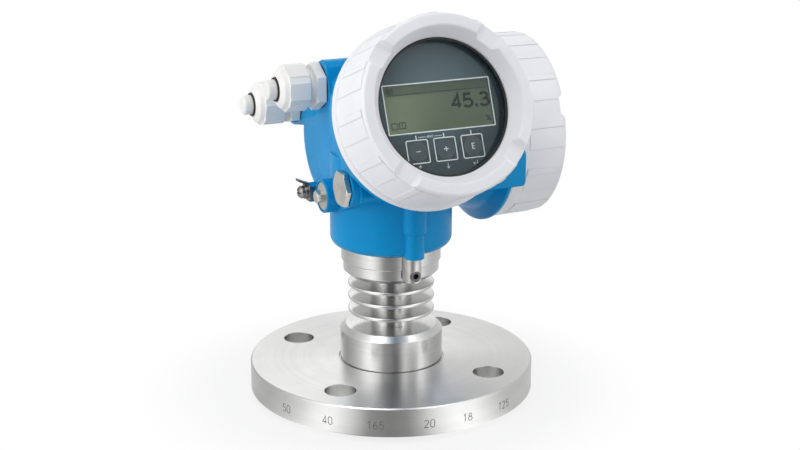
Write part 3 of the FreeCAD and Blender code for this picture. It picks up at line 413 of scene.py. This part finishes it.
casePlastic = {
    "colour": (36, 42, 46), "shade": (29, 34, 38), "roughness": (0.4, 0.52), "grain": 1300.0,
    "patch": 70.0, "depth": 0.012, "edge": 0.3, "edgeWearAndHighlight": 0.3, "edgeWearAndHighlightColour": (66, 72, 76)}
holderPlastic = {
    "colour": (52, 54, 58), "shade": (44, 46, 50), "roughness": (0.42, 0.55), "grain": 1200.0,
    "patch": 80.0, "depth": 0.014, "edge": 0.3, "edgeWearAndHighlight": 0.3, "edgeWearAndHighlightColour": (84, 86, 90)}
modulePlastic = {
    "colour": (30, 58, 118), "shade": (26, 50, 104), "roughness": (0.36, 0.5), "grain": 1100.0,
    "patch": 60.0, "depth": 0.014, "edge": 0.4, "edgeWearAndHighlight": 0.3, "edgeWearAndHighlightColour": (70, 96, 150)}
terminalPlastic = {
    "colour": (70, 110, 84), "shade": (60, 98, 74), "roughness": (0.38, 0.5), "grain": 1100.0,
    "patch": 60.0, "depth": 0.012, "edge": 0.3, "edgeWearAndHighlight": 0.3, "edgeWearAndHighlightColour": (108, 146, 120)}
keyPlastic = {
    "colour": (44, 62, 72), "shade": (38, 55, 64), "roughness": (0.3, 0.4), "grain": 1500.0,
    "patch": 160.0, "depth": 0.006, "edge": 0.25, "edgeWearAndHighlight": 0.5, "edgeWearAndHighlightColour": (98, 118, 126)}

dress(makeFinish("GlandPlastic", glandPlastic), "gland_body_1", "gland_body_2", "gland_nut_1",
      "gland_nut_2")
dress(makeFinish("PlugPlastic", plugPlastic), "gland_plug_1", "gland_plug_2")
dress(makeFinish("WindowPlastic", windowPlastic), "antenna_window")
dress(makeFinish("BlackRubber", rubber), "window_seal", "process_seal", "neck_seal", "cover_seal",
      "terminal_cover_seal", "glass_gasket", "hex_plug_gasket", "gland_insert_1", "gland_insert_2",
      "gland_washer_1", "gland_washer_2")
dress(makeFinish("BlackRing", ringPlastic), "glass_ring")
dress(makeFinish("DisplayCase", casePlastic), "display_body")
dress(makeFinish("HolderPlastic", holderPlastic), "display_holder")
dress(makeFinish("ModulePlastic", modulePlastic), "hf_module", "electronics_module")
dress(makeFinish("TerminalPlastic", terminalPlastic), "terminal_block")
dress(makeFinish("KeyPlastic", keyPlastic), "key_minus", "key_plus", "key_enter")
print("Plastics done")


# Display: glass, printed foil and liquid crystal panel

# middle is the paler colour of a painted reflection of the window glass, rim the foil's own dark
# colour
foilLook = {
    "middle": (84, 106, 114), "rim": (44, 62, 70), "paintedReflectionUp": 14, "paintedReflectionFrom": 6, "paintedReflectionTo": 44,
    "speck": (70, 88, 96), "speckShare": 0.12, "roughness": (0.36, 0.46), "specular": 0.1,
    "grain": 2600.0, "patch": 70.0, "depth": 0.004}
crystalLook = {
    "left": (116, 129, 105), "right": (88, 102, 84), "slant": -0.5, "fadeFrom": -26, "fadeTo": 6,
    "head": (66, 81, 71), "headFrom": 7, "headTo": 11, "headShare": 0.75,
    "pixel": 0.42, "lineFrom": 0.86, "lineColour": (60, 66, 54), "lineShare": 0.1,
    "speck": (120, 124, 100), "speckShare": 0.1, "roughness": (0.25, 0.31), "specular": 0.1,
    "grain": 1800.0, "patch": 45.0, "depth": 0.003}
glassLook = {"clear": (0.985, 0.995, 0.99, 1.0), "tinted": (0.96, 0.975, 0.97, 1.0),
             "shadow": (0.9, 0.93, 0.92, 1.0), "grain": 90.0, "patch": 60.0, "bend": 1.45}
inkLook = {"roughness": (0.45, 0.55), "specular": 0.2, "grain": 3000.0, "patch": 300.0,
           "depth": 0.004}


def displayPlaces(tree):
    # across and up on the display, measured from its middle in metres
    centred = vectorMaths(tree, "SUBTRACT", objectPlace(tree), displayMiddle)
    return [vectorMaths(tree, "DOT_PRODUCT", centred, way) for way in (displayRight, displayUp)]


def addSkin(tree, spec):
    # very fine grain of a printed or moulded face
    grain = placeGroup(tree, sprayGrain, Scale=spec["grain"], Patch=spec["patch"])
    rough = mapped(tree, grain["Tone"], 0.0, 1.0, *spec["roughness"])
    return {"tone": grain["Tone"], "rough": rough,
            "bump": addBump(tree, spec["depth"], grain["Height"])}


def addSpecks(tree, spec, tone, colour):
    share = maths(tree, "MULTIPLY", tone, spec["speckShare"])
    return mixedColour(tree, share, colour, linear(*spec["speck"]))


def makeFoil():
    # painted reflection of the window glass: paler round a point above the middle of the display
    look = foilLook
    material, tree = newMaterial("DisplayFoil")
    across, up = displayPlaces(tree)
    raised = maths(tree, "SUBTRACT", up, look["paintedReflectionUp"] * mm)
    radius = vectorMaths(tree, "LENGTH", flatVector(tree, across, raised))
    # the painted reflection fades out from its point toward the rim
    glow = mapped(tree, radius, look["paintedReflectionFrom"] * mm, look["paintedReflectionTo"] * mm)
    skin = addSkin(tree, look)
    colour = mixedColour(tree, glow, linear(*look["middle"]), linear(*look["rim"]))
    colour = addSpecks(tree, look, skin["tone"], colour)
    finishTree(tree, addShader(tree, look, colour, skin["rough"], skin["bump"]).outputs[0])
    return material


def makeCrystal():
    # grey green panel with faint pixel rows, darker toward its head line
    look = crystalLook
    material, tree = newMaterial("CrystalPanel")
    across, up = displayPlaces(tree)
    skin = addSkin(tree, look)
    sideways = maths(tree, "ADD", across, maths(tree, "MULTIPLY", up, look["slant"]))
    fade = mapped(tree, sideways, look["fadeFrom"] * mm, look["fadeTo"] * mm)
    colour = mixedColour(tree, fade, linear(*look["left"]), linear(*look["right"]))
    head = mapped(tree, up, look["headFrom"] * mm, look["headTo"] * mm)
    head = maths(tree, "MULTIPLY", head, look["headShare"])
    colour = mixedColour(tree, head, colour, linear(*look["head"]))
    rows, columns = [
        maths(tree, "PINGPONG", maths(tree, "MULTIPLY", place, 1 / (look["pixel"] * mm)), 1.0)
        for place in (up, across)]
    lines = maths(tree, "GREATER_THAN", maths(tree, "MAXIMUM", rows, columns), look["lineFrom"])
    lines = maths(tree, "MULTIPLY", lines, look["lineShare"])
    colour = mixedColour(tree, lines, colour, linear(*look["lineColour"]))
    colour = addSpecks(tree, look, skin["tone"], colour)
    finishTree(tree, addShader(tree, look, colour, skin["rough"], skin["bump"]).outputs[0])
    return material


def makeWindowGlass():
    # clear plate with a faint tint; shadow rays pass so that the display behind it is lit
    look = glassLook
    material, tree = newMaterial("WindowGlass")
    smears = placeGroup(tree, sprayGrain, Scale=look["grain"], Patch=look["patch"])
    tint = mixedColour(tree, smears["Tone"], look["clear"], look["tinted"])
    shader = addNode(tree, "ShaderNodeBsdfPrincipled", None,
                     {"Base Color": tint, "Roughness": 0.0, "IOR": look["bend"],
                      "Transmission Weight": 1.0})
    clear = addNode(tree, "ShaderNodeBsdfTransparent", None, {"Color": look["shadow"]})
    path = addNode(tree, "ShaderNodeLightPath").outputs
    mix = addNode(tree, "ShaderNodeMixShader", None,
                  {0: path["Is Shadow Ray"], 1: shader.outputs[0], 2: clear.outputs[0]})
    finishTree(tree, mix.outputs[0])
    return material


def makePrint(name, colour, shade):
    # thin printed ink, slightly uneven
    material, tree = newMaterial(name)
    skin = addSkin(tree, inkLook)
    mixed = mixedColour(tree, skin["tone"], linear(*colour), linear(*shade))
    finishTree(tree, addShader(tree, inkLook, mixed, skin["rough"], skin["bump"]).outputs[0])
    return material


dress(makeFoil(), "display_foil")
dress(makeCrystal(), "lcd_panel")
dress(makeWindowGlass(), "window_glass")
whiteInk = makePrint("WhiteInk", (236, 242, 243), (224, 232, 234))
paleInk = makePrint("PaleInk", (206, 218, 222), (190, 204, 209))
darkSegment = makePrint("DarkSegment", (6, 18, 24), (10, 24, 30))
paleSegment = makePrint("PaleSegment", (24, 36, 32), (30, 42, 38))
stampedMark = makePrint("StampedMark", (92, 92, 91), (118, 118, 117))
print("Display materials done")


# Meshes

def keepPiece(name, mesh, material, body):
    piece = bpy.data.objects.new(name, mesh)
    bpy.context.scene.collection.objects.link(piece)
    mesh.materials.append(material)
    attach(piece, body)
    return piece


def meshFrom(name, build, *values):
    mesh = bpy.data.meshes.new(name)
    work = bmesh.new()
    build(work, *values)
    bmesh.ops.recalc_face_normals(work, faces=work.faces)
    work.to_mesh(mesh)
    work.free()
    return mesh


def joinRings(work, rings, closed=False):
    # faces between rings of four corners each, and over both ends unless the row is closed
    pairs = list(zip(rings, rings[1:])) + ([(rings[-1], rings[0])] if closed else [])
    for first, second in pairs:
        for side in range(4):
            after = (side + 1) % 4
            work.faces.new((first[side], first[after], second[after], second[side]))
    if not closed:
        work.faces.new(rings[0])
        work.faces.new(rings[-1])


mitreLimit = 0.35   # keeps sharp corners of a line from growing long tips


def addRibbon(work, place, points, width, heights, closed=False):
    # flat band of one width that follows the points, with mitred corners
    points = [Vector(point) for point in points]
    count = len(points)
    low, high = heights
    rings = []
    for index, point in enumerate(points):
        steps = []
        if closed or index > 0:
            steps.append((point - points[index - 1]).normalized())
        if closed or index < count - 1:
            steps.append((points[(index + 1) % count] - point).normalized())
        along = sum(steps, Vector((0, 0))).normalized()
        across = Vector((-along.y, along.x))
        mitre = max(mitreLimit, across.dot(Vector((-steps[0].y, steps[0].x))))
        left = point - across * (width / 2 / mitre)
        right = point + across * (width / 2 / mitre)
        corners = ((left, low), (right, low), (right, high), (left, high))
        rings.append([work.verts.new(place @ Vector((side.x, side.y, height)))
                      for side, height in corners])
    joinRings(work, rings, closed)


def arcPoints(middle, radius, start, end, steps=14):
    points = []
    for step in range(steps + 1):
        angle = math.radians(start + (end - start) * step / steps)
        points.append((middle[0] + radius * math.cos(angle), middle[1] + radius * math.sin(angle)))
    return points


def roundedBox(middle, halfWidth, halfHeight, radius, steps=6):
    points = []
    for quarter, (right, up) in enumerate(((1, 1), (-1, 1), (-1, -1), (1, -1))):
        corner = (middle[0] + right * (halfWidth - radius), middle[1] + up * (halfHeight - radius))
        points += arcPoints(corner, radius, 90 * quarter, 90 * quarter + 90, steps)
    return points


# Figures drawn with strokes, in a cell one unit wide and two units high
figures = {
    "0": [roundedBox((0.5, 1.0), 0.5, 1.0, 0.48) + [(1.0, 1.52)]],
    "1": [[(0.15, 1.6), (0.55, 2.0), (0.55, 0.0)]],
    "2": [arcPoints((0.5, 1.5), 0.48, 170, -40) + [(0.02, 0.0), (1.0, 0.0)]],
    "3": [arcPoints((0.48, 1.52), 0.45, 155, -80) + arcPoints((0.48, 0.55), 0.55, 80, -155)],
    "4": [[(1.05, 0.5), (0.0, 0.5), (0.75, 2.0), (0.75, 0.0)]],
    "5": [[(0.95, 2.0), (0.18, 2.0), (0.08, 1.1)] + arcPoints((0.46, 0.62), 0.58, 118, -145)],
    "6": [[(0.85, 1.95), (0.3, 1.55), (0.04, 1.0)] + arcPoints((0.5, 0.55), 0.5, 160, -200)],
    "8": [arcPoints((0.5, 1.5), 0.42, 0, 345), arcPoints((0.5, 0.55), 0.53, 90, 435)],
    ".": [[(0.1, -0.08), (0.1, 0.36)]],
}
pointShare = 0.45      # a decimal point takes this much of a figure's room
printHeight = 0.03


def shifted(matrix, x, y, z=0.0):
    return matrix @ Matrix.Translation((x, y, z))


def addFigures(work, place, text, spec):
    # place turns a flat point and its height into the object's frame
    left = 0.0
    for letter in text:
        for line in figures[letter]:
            points = [(left + x * spec["width"], y * spec["height"] / 2) for x, y in line]
            addRibbon(work, place, points, spec["stroke"], (0.0, printHeight))
        left += spec["advance"] * (pointShare if letter == "." else 1.0)


unitFace = 67.8        # top of the foil, along the display's axis
panelFace = 67.2
foilHeights = (unitFace, unitFace + printHeight)
panelHeights = (panelFace, panelFace + printHeight)

foilPrint = {
    "outline": {"middle": (0.2, 1.6), "halfWidth": 31.0, "halfHeight": 13.1, "radius": 0.35},
    "outlineWidth": 0.6, "keyX": (-16.0, 0.0, 16.0), "keyY": -21.6, "keyHalf": 6.15,
    "keyRadius": 0.9, "keyLine": 0.5, "tickTop": -13.0, "tickLine": 0.55}
# links between the two left keys with their small word, and an arrow under each key
keyNotes = {
    "linkY": -14.1, "links": ((-14.8, -10.4), (-5.4, -1.2)), "linkLine": 0.32,
    "word": ([(0.1, 0.45), (0.95, 0.45)] + arcPoints((0.5, 0.45), 0.45, 0, 300),
             arcPoints((0.5, 0.68), 0.24, 20, 230, 8) + arcPoints((0.5, 0.22), 0.24, 50, -160, 8),
             arcPoints((0.5, 0.45), 0.45, 50, 310)),
    "wordPlace": (-9.6, -14.6), "wordWidth": 1.05, "wordHeight": 1.15, "wordAdvance": 1.35,
    "arrowY": -30.4, "line": 0.3,
    "arrows": ([(-16.0, -1.3), (-16.0, 1.3)], [(-16.8, 0.5), (-16.0, 1.5), (-15.2, 0.5)],
               [(0.0, -1.3), (0.0, 1.3)], [(-0.8, -0.5), (0.0, -1.5), (0.8, -0.5)],
               [(17.2, 1.2), (17.2, -0.4), (14.9, -0.4)],
               [(15.7, 0.4), (14.8, -0.4), (15.7, -1.2)])}


def buildFoilFrames(work):
    spec = foilPrint
    addRibbon(work, displayFrame, roundedBox(**spec["outline"]), spec["outlineWidth"],
              foilHeights, closed=True)
    y, half = spec["keyY"], spec["keyHalf"]
    for x in spec["keyX"]:
        box = roundedBox((x, y), half, half, spec["keyRadius"])
        addRibbon(work, displayFrame, box, spec["keyLine"], foilHeights, closed=True)
        addRibbon(work, displayFrame, [(x, y + half), (x, spec["tickTop"])], spec["tickLine"],
                  foilHeights)


def buildFoilMarks(work):
    spec = keyNotes
    for start, end in spec["links"]:
        addRibbon(work, displayFrame, [(start, spec["linkY"]), (end, spec["linkY"])],
                  spec["linkLine"], foilHeights)
    left, foot = spec["wordPlace"]
    for line in spec["word"]:
        points = [(left + x * spec["wordWidth"], foot + y * spec["wordHeight"]) for x, y in line]
        addRibbon(work, displayFrame, points, spec["line"], foilHeights)
        left += spec["wordAdvance"]
    for line in spec["arrows"]:
        points = [(x, spec["arrowY"] + y) for x, y in line]
        addRibbon(work, displayFrame, points, spec["line"], foilHeights)


keepPiece("foil_frames", meshFrom("foil_frames", buildFoilFrames), whiteInk, "display_unit")
keepPiece("foil_marks", meshFrom("foil_marks", buildFoilMarks), paleInk, "display_unit")

panelMarks = {
    "numbers": (
        {"text": "45.3", "place": (8.4, -0.3), "height": 7.0, "width": 4.7, "stroke": 1.45,
         "advance": 6.7},
        {"text": "01", "place": (-28.2, 10.4), "height": 2.2, "width": 1.3, "stroke": 0.55,
         "advance": 2.3}),
    "headLine": [(-28.6, 9.4), (29.2, 9.4)], "headWidth": 0.4,
    "percentRings": ((27.3, -6.3), (28.9, -8.1)), "ringRadius": 0.5,
    "percentBar": [(27.2, -8.6), (29.1, -5.9)], "percentLine": 0.5}
# two small boxes at the lower left, the second with a number
panelIcons = {
    "boxes": ((-26.7, -7.1), (-22.2, -6.9)), "halfWidth": 1.7, "halfHeight": 1.6, "radius": 0.4,
    "line": 0.48,
    "number": {"text": "1", "place": (-22.8, -7.7), "height": 1.6, "width": 1.0, "stroke": 0.46,
               "advance": 1.4}}


def addPanelNumber(work, spec):
    addFigures(work, shifted(displayFrame, *spec["place"], panelFace), spec["text"], spec)


def buildPanelMarks(work):
    spec = panelMarks
    for number in spec["numbers"]:
        addPanelNumber(work, number)
    addRibbon(work, displayFrame, spec["headLine"], spec["headWidth"], panelHeights)
    for middle in spec["percentRings"]:
        ring = arcPoints(middle, spec["ringRadius"], 0, 330, 8)
        addRibbon(work, displayFrame, ring, spec["percentLine"], panelHeights)
    addRibbon(work, displayFrame, spec["percentBar"], spec["percentLine"], panelHeights)


def buildPanelIcons(work):
    spec = panelIcons
    for middle in spec["boxes"]:
        box = roundedBox(middle, spec["halfWidth"], spec["halfHeight"], spec["radius"])
        addRibbon(work, displayFrame, box, spec["line"], panelHeights, closed=True)
    addPanelNumber(work, spec["number"])


keepPiece("panel_marks", meshFrom("panel_marks", buildPanelMarks), darkSegment, "display_unit")
keepPiece("panel_icons", meshFrom("panel_icons", buildPanelIcons), paleSegment, "display_unit")

keyTop = 68.5
signStroke = 0.5
signHeights = (-0.25, 0.02)   # let into the key and just proud of it
keySigns = {
    "minus": {"middle": (-16.0, -21.6), "lines": [[(-1.3, 0), (1.3, 0)]]},
    "plus": {"middle": (0.0, -21.6), "lines": [[(-1.3, 0), (1.3, 0)], [(0, -1.3), (0, 1.3)]]},
    "enter": {"middle": (16.0, -21.6),
              "lines": [[(0.8, 1.4), (-0.7, 1.4), (-0.7, -1.4), (0.8, -1.4)],
                        [(-0.7, 0), (0.6, 0)]]},
}


def buildSign(work, spec):
    place = shifted(displayFrame, *spec["middle"], keyTop)
    for line in spec["lines"]:
        addRibbon(work, place, line, signStroke, signHeights)


for name, spec in keySigns.items():
    keepPiece(name + "_sign", meshFrom(name + "_sign", buildSign, spec), paleInk, name + "_key")
print("Display print done")


# Plain numbers stamped round the flange's rim

rimNumbers = {
    "radius": 82.49, "foot": 8.0, "height": 4.4, "width": 2.3, "stroke": 0.42, "advance": 3.4,
    "groups": (("50", -160.0), ("40", -140.0), ("165", -122.0), ("20", -100.0), ("18", -84.0),
               ("125", -66.0))}


def buildRimNumbers(work):
    spec = rimNumbers
    up = Vector((0, 0, 1))
    for text, start in spec["groups"]:
        for index, letter in enumerate(text):
            angle = math.radians(start) + index * spec["advance"] / spec["radius"]
            out = Vector((math.cos(angle), math.sin(angle), 0))
            along = Vector((-out.y, out.x, 0))
            middle = out * spec["radius"] * mm + up * (spec["foot"] * mm)
            place = shifted(placeFrame(middle, along, up, out), -spec["width"] / 2, 0)
            addFigures(work, place, letter, spec)


keepPiece("rim_numbers", meshFrom("rim_numbers", buildRimNumbers), stampedMark, "base")
print("Rim numbers done")


# Threads that show once a cover or a gland nut is screwed off

threadShape = {"sink": 0.1, "half": 0.42, "crest": 0.25, "fade": 8.0}
spigotThread = {"rise": 0.2, "pitch": 2.0, "segments": 90, "slot": "blue_paint"}
glandThread = {"radius": 9.0, "rise": 0.18, "pitch": 1.5, "start": 10.4, "turns": 5.0,
               "segments": 48, "slot": "gland_plastic"}
threads = {
    "display_spigot_thread": {"frame": displayFrame, "radius": 46.4, "start": 50.0, "turns": 3.2,
                              **spigotThread},
    "terminal_spigot_thread": {"frame": terminalFrame, "radius": 47.6, "start": 68.4,
                               "turns": 2.9, **spigotThread},
    "gland_thread_1": {"frame": glandFrame(-7.7), **glandThread},
    "gland_thread_2": {"frame": glandFrame(-52.7), **glandThread},
}
bareCastMetal = {
    "colour": (196, 197, 198), "shade": (184, 185, 187), "roughness": (0.28, 0.38),
    "metallic": 1.0, "grain": 2400.0, "patch": 80.0, "depth": 0.01, "edge": 0.2, "edgeWearAndHighlight": 0.4,
    "edgeWearAndHighlightColour": (220, 220, 220)}
threadMaterials = {"blue_paint": makeFinish("BareCastMetal", bareCastMetal),
                   "gland_plastic": bpy.data.materials["GlandPlastic"]}


def buildThread(work, spec):
    # one ridge wound round the frame's third axis, fading out at both ends
    steps = int(spec["turns"] * spec["segments"])
    foot = spec["radius"] - threadShape["sink"]
    half = spec["pitch"] * threadShape["half"]
    crest = half * threadShape["crest"]
    rings = []
    for step in range(steps + 1):
        angle = 2 * math.pi * step / spec["segments"]
        height = spec["start"] + spec["pitch"] * step / spec["segments"]
        fade = threadShape["fade"] / steps
        top = spec["radius"] + spec["rise"] * min(1.0, fade * step, fade * (steps - step))
        section = ((foot, height - half), (top, height - crest), (top, height + crest),
                   (foot, height + half))
        rings.append([work.verts.new(
            spec["frame"] @ Vector((radius * math.cos(angle), radius * math.sin(angle), z)))
            for radius, z in section])
    joinRings(work, rings)


for name, spec in threads.items():
    keepPiece(name, meshFrom(name, buildThread, spec), threadMaterials[spec["slot"]], "head")
print("Threads done")


# Floor, light and camera

floorLook = {
    "radius": 6.0, "segments": 96, "drop": 0.0002, "colour": (214, 214, 214),
    "blotch": (222, 222, 222), "blotchShare": 0.3, "grain": 300.0, "patch": 12.0,
    "roughness": 0.7, "near": 0.8, "clearFrom": 0.085, "clearTo": 0.16,
    "mirrorLow": 0.25, "mirrorShare": 0.7, "stretch": 1.6, "stretchFrom": 0.1, "stretchTo": 0.3}
# brightness that metal mirrors, by the angle in degrees from the camera's side of the object
bandLook = {"side": (-0.405, -0.914), "highest": 2.0, "stops": (
    (-180, 0.7), (-140, 0.55), (-116, 0.5), (-95, 0.7), (-77, 0.95), (-60, 1.5), (-45, 1.6),
    (-30, 0.9), (-17, 0.16), (0, 0.05), (13, 0.12), (23, 0.5), (37, 1.3), (52, 1.8), (68, 1.7),
    (86, 1.05), (104, 0.65), (140, 0.6), (180, 0.7))}
skyLook = {
    "ambient": 0.63, "mirrorGain": 1.4, "mirrorDrop": 0.15,
    "card": (0.41, -0.8, 0.45), "cardEdge": 0.95, "cardMiddle": 0.985, "cardLight": 0.1}
white = (1, 1, 1, 1)


def makeStudioBands():
    # upright dark and bright bands of a photo studio, from a flat direction
    group, given, result = newGroup("StudioBands", {"Across": 0.0, "Along": 0.0, "Stretch": 1.0},
                                    {"Strength": "Float"})
    side = math.atan2(bandLook["side"][1], bandLook["side"][0])
    angle = maths(group, "SUBTRACT", maths(group, "ARCTAN2", given["Along"], given["Across"]), side)
    angle = maths(group, "WRAP", angle, math.pi, -math.pi)
    angle = maths(group, "MULTIPLY", angle, given["Stretch"])
    share = maths(group, "ADD", maths(group, "MULTIPLY", angle, 0.5 / math.pi), 0.5)
    ramp = addNode(group, "ShaderNodeValToRGB", None, {0: share})
    stops = ramp.color_ramp.elements
    highest = bandLook["highest"]
    for degrees, strength in bandLook["stops"]:
        place = degrees / 360 + 0.5
        stop = {0.0: stops[0], 1.0: stops[-1]}.get(place) or stops.new(place)
        stop.color = (*[strength / highest] * 3, 1.0)
    group.links.new(maths(group, "MULTIPLY", ramp.outputs[0], highest), result["Strength"])
    return group


studioBands = makeStudioBands()


def makeFloorMaterial():
    # pale floor that keeps the soft shadow near the object and turns plain white further out
    look = floorLook
    material, tree = newMaterial("PaleFloor")
    place = objectPlace(tree)
    distance = vectorMaths(tree, "LENGTH", place)
    grain = placeGroup(tree, sprayGrain, Scale=look["grain"], Patch=look["patch"])
    blotch = maths(tree, "MULTIPLY", grain["Tone"], look["blotchShare"])
    colour = mixedColour(tree, blotch, linear(*look["colour"]), linear(*look["blotch"]))
    shader = addNode(tree, "ShaderNodeBsdfPrincipled", None,
                     {"Base Color": colour, "Roughness": look["roughness"]})
    axes = axesOf(tree, place)
    # near the flange its side mirrors the floor at a smaller angle, so the bands draw together
    stretch = mapped(tree, distance, look["stretchFrom"], look["stretchTo"], look["stretch"], 1.0)
    bands = placeGroup(tree, studioBands, Across=axes[0], Along=axes[1], Stretch=stretch)
    bands = maths(tree, "MULTIPLY", bands["Strength"], look["mirrorShare"])
    bands = maths(tree, "ADD", bands, look["mirrorLow"])
    path = addNode(tree, "ShaderNodeLightPath").outputs
    glow = mixedColour(tree, path["Is Glossy Ray"], white, bands)
    plain = addNode(tree, "ShaderNodeEmission", None, {"Color": glow, "Strength": 1.0})
    seen = maths(tree, "MAXIMUM", path["Is Camera Ray"],
                 maths(tree, "MAXIMUM", path["Is Glossy Ray"], path["Is Transmission Ray"]))
    fade = mapped(tree, distance, look["clearFrom"], look["clearTo"], look["near"], 1.0)
    share = maths(tree, "MULTIPLY", seen, maths(tree, "MAXIMUM", fade, path["Is Glossy Ray"]))
    mix = addNode(tree, "ShaderNodeMixShader", None,
                  {0: share, 1: shader.outputs[0], 2: plain.outputs[0]})
    finishTree(tree, mix.outputs[0])
    return material


def buildFloor(work):
    bmesh.ops.create_circle(work, cap_ends=True, radius=floorLook["radius"],
                            segments=floorLook["segments"])
    bmesh.ops.translate(work, verts=work.verts, vec=(0, 0, -floorLook["drop"]))


floorMesh = meshFrom("studio_floor", buildFloor)
floorMesh.materials.append(makeFloorMaterial())
floor = bpy.data.objects.new("studio_floor", floorMesh)
bpy.context.scene.collection.objects.link(floor)


def makeSky():
    # white to the eye; mirrors see the bands and the dark card that keeps the window clear
    look = skyLook
    world = bpy.data.worlds.new("StudioSky")
    world.use_nodes = True
    tree = world.node_tree
    tree.nodes.clear()
    ray = addNode(tree, "ShaderNodeTexCoord").outputs["Generated"]
    axes = axesOf(tree, ray)
    bands = placeGroup(tree, studioBands, Across=axes[0], Along=axes[1])["Strength"]
    bands = maths(tree, "MULTIPLY", bands, look["mirrorGain"])
    bands = maths(tree, "SUBTRACT", bands, look["mirrorDrop"])
    bands = maths(tree, "MAXIMUM", bands, look["cardLight"])
    toward = vectorMaths(tree, "DOT_PRODUCT", ray, Vector(look["card"]).normalized())
    card = mapped(tree, toward, look["cardEdge"], look["cardMiddle"])
    glossy = mixedColour(tree, card, bands, (*[look["cardLight"]] * 3, 1))
    path = addNode(tree, "ShaderNodeLightPath").outputs
    colour = mixedColour(tree, path["Is Glossy Ray"], (*[look["ambient"]] * 3, 1), glossy)
    clear = maths(tree, "MAXIMUM", path["Is Camera Ray"], path["Is Transmission Ray"])
    colour = mixedColour(tree, clear, colour, white)
    light = addNode(tree, "ShaderNodeBackground", None, {"Color": colour, "Strength": 1.0})
    addNode(tree, "ShaderNodeOutputWorld", None, {"Surface": light.outputs[0]})
    bpy.context.scene.world = world


makeSky()

lamps = {
    "key_softbox": {"place": (-0.5, -0.5, 1.2), "size": 0.7, "power": 3.6, "mirrored": True},
    "left_softbox": {"place": (-1.1, 0.15, 0.2), "size": 0.7, "power": 5.6, "mirrored": False},
    "side_softbox": {"place": (0.9, -0.35, 0.8), "size": 0.6, "power": 2.6, "mirrored": False},
    "back_softbox": {"place": (0.1, 0.95, 0.8), "size": 0.8, "power": 1.4, "mirrored": True},
}
lampTarget = Vector((0, 0, 0.11))
photoCamera = {"place": (-0.3754, -0.8593, 0.3820), "aim": (0.3882, 0.8753, -0.2884),
               "lens": 76.49, "sensor": 36.0, "clipStart": 0.01}


def placeAimed(name, data, place, aim):
    # aim is the direction that the lamp or camera looks in
    thing = bpy.data.objects.new(name, data)
    thing.location = place
    thing.rotation_euler = Vector(aim).to_track_quat("-Z", "Y").to_euler()
    bpy.context.scene.collection.objects.link(thing)
    return thing


for name, spec in lamps.items():
    light = bpy.data.lights.new(name, "AREA")
    light.shape = "SQUARE"
    light.size = spec["size"]
    light.energy = spec["power"]
    lamp = placeAimed(name, light, spec["place"], lampTarget - Vector(spec["place"]))
    lamp.visible_glossy = spec["mirrored"]

cameraData = bpy.data.cameras.new("photo_camera")
cameraData.sensor_fit = "HORIZONTAL"
cameraData.sensor_width = photoCamera["sensor"]
cameraData.lens = photoCamera["lens"]
cameraData.clip_start = photoCamera["clipStart"]
camera = placeAimed("photo_camera", cameraData, photoCamera["place"], photoCamera["aim"])
bpy.context.scene.camera = camera
bpy.context.scene.view_settings.view_transform = "Standard"
print("Floor, light and camera done")
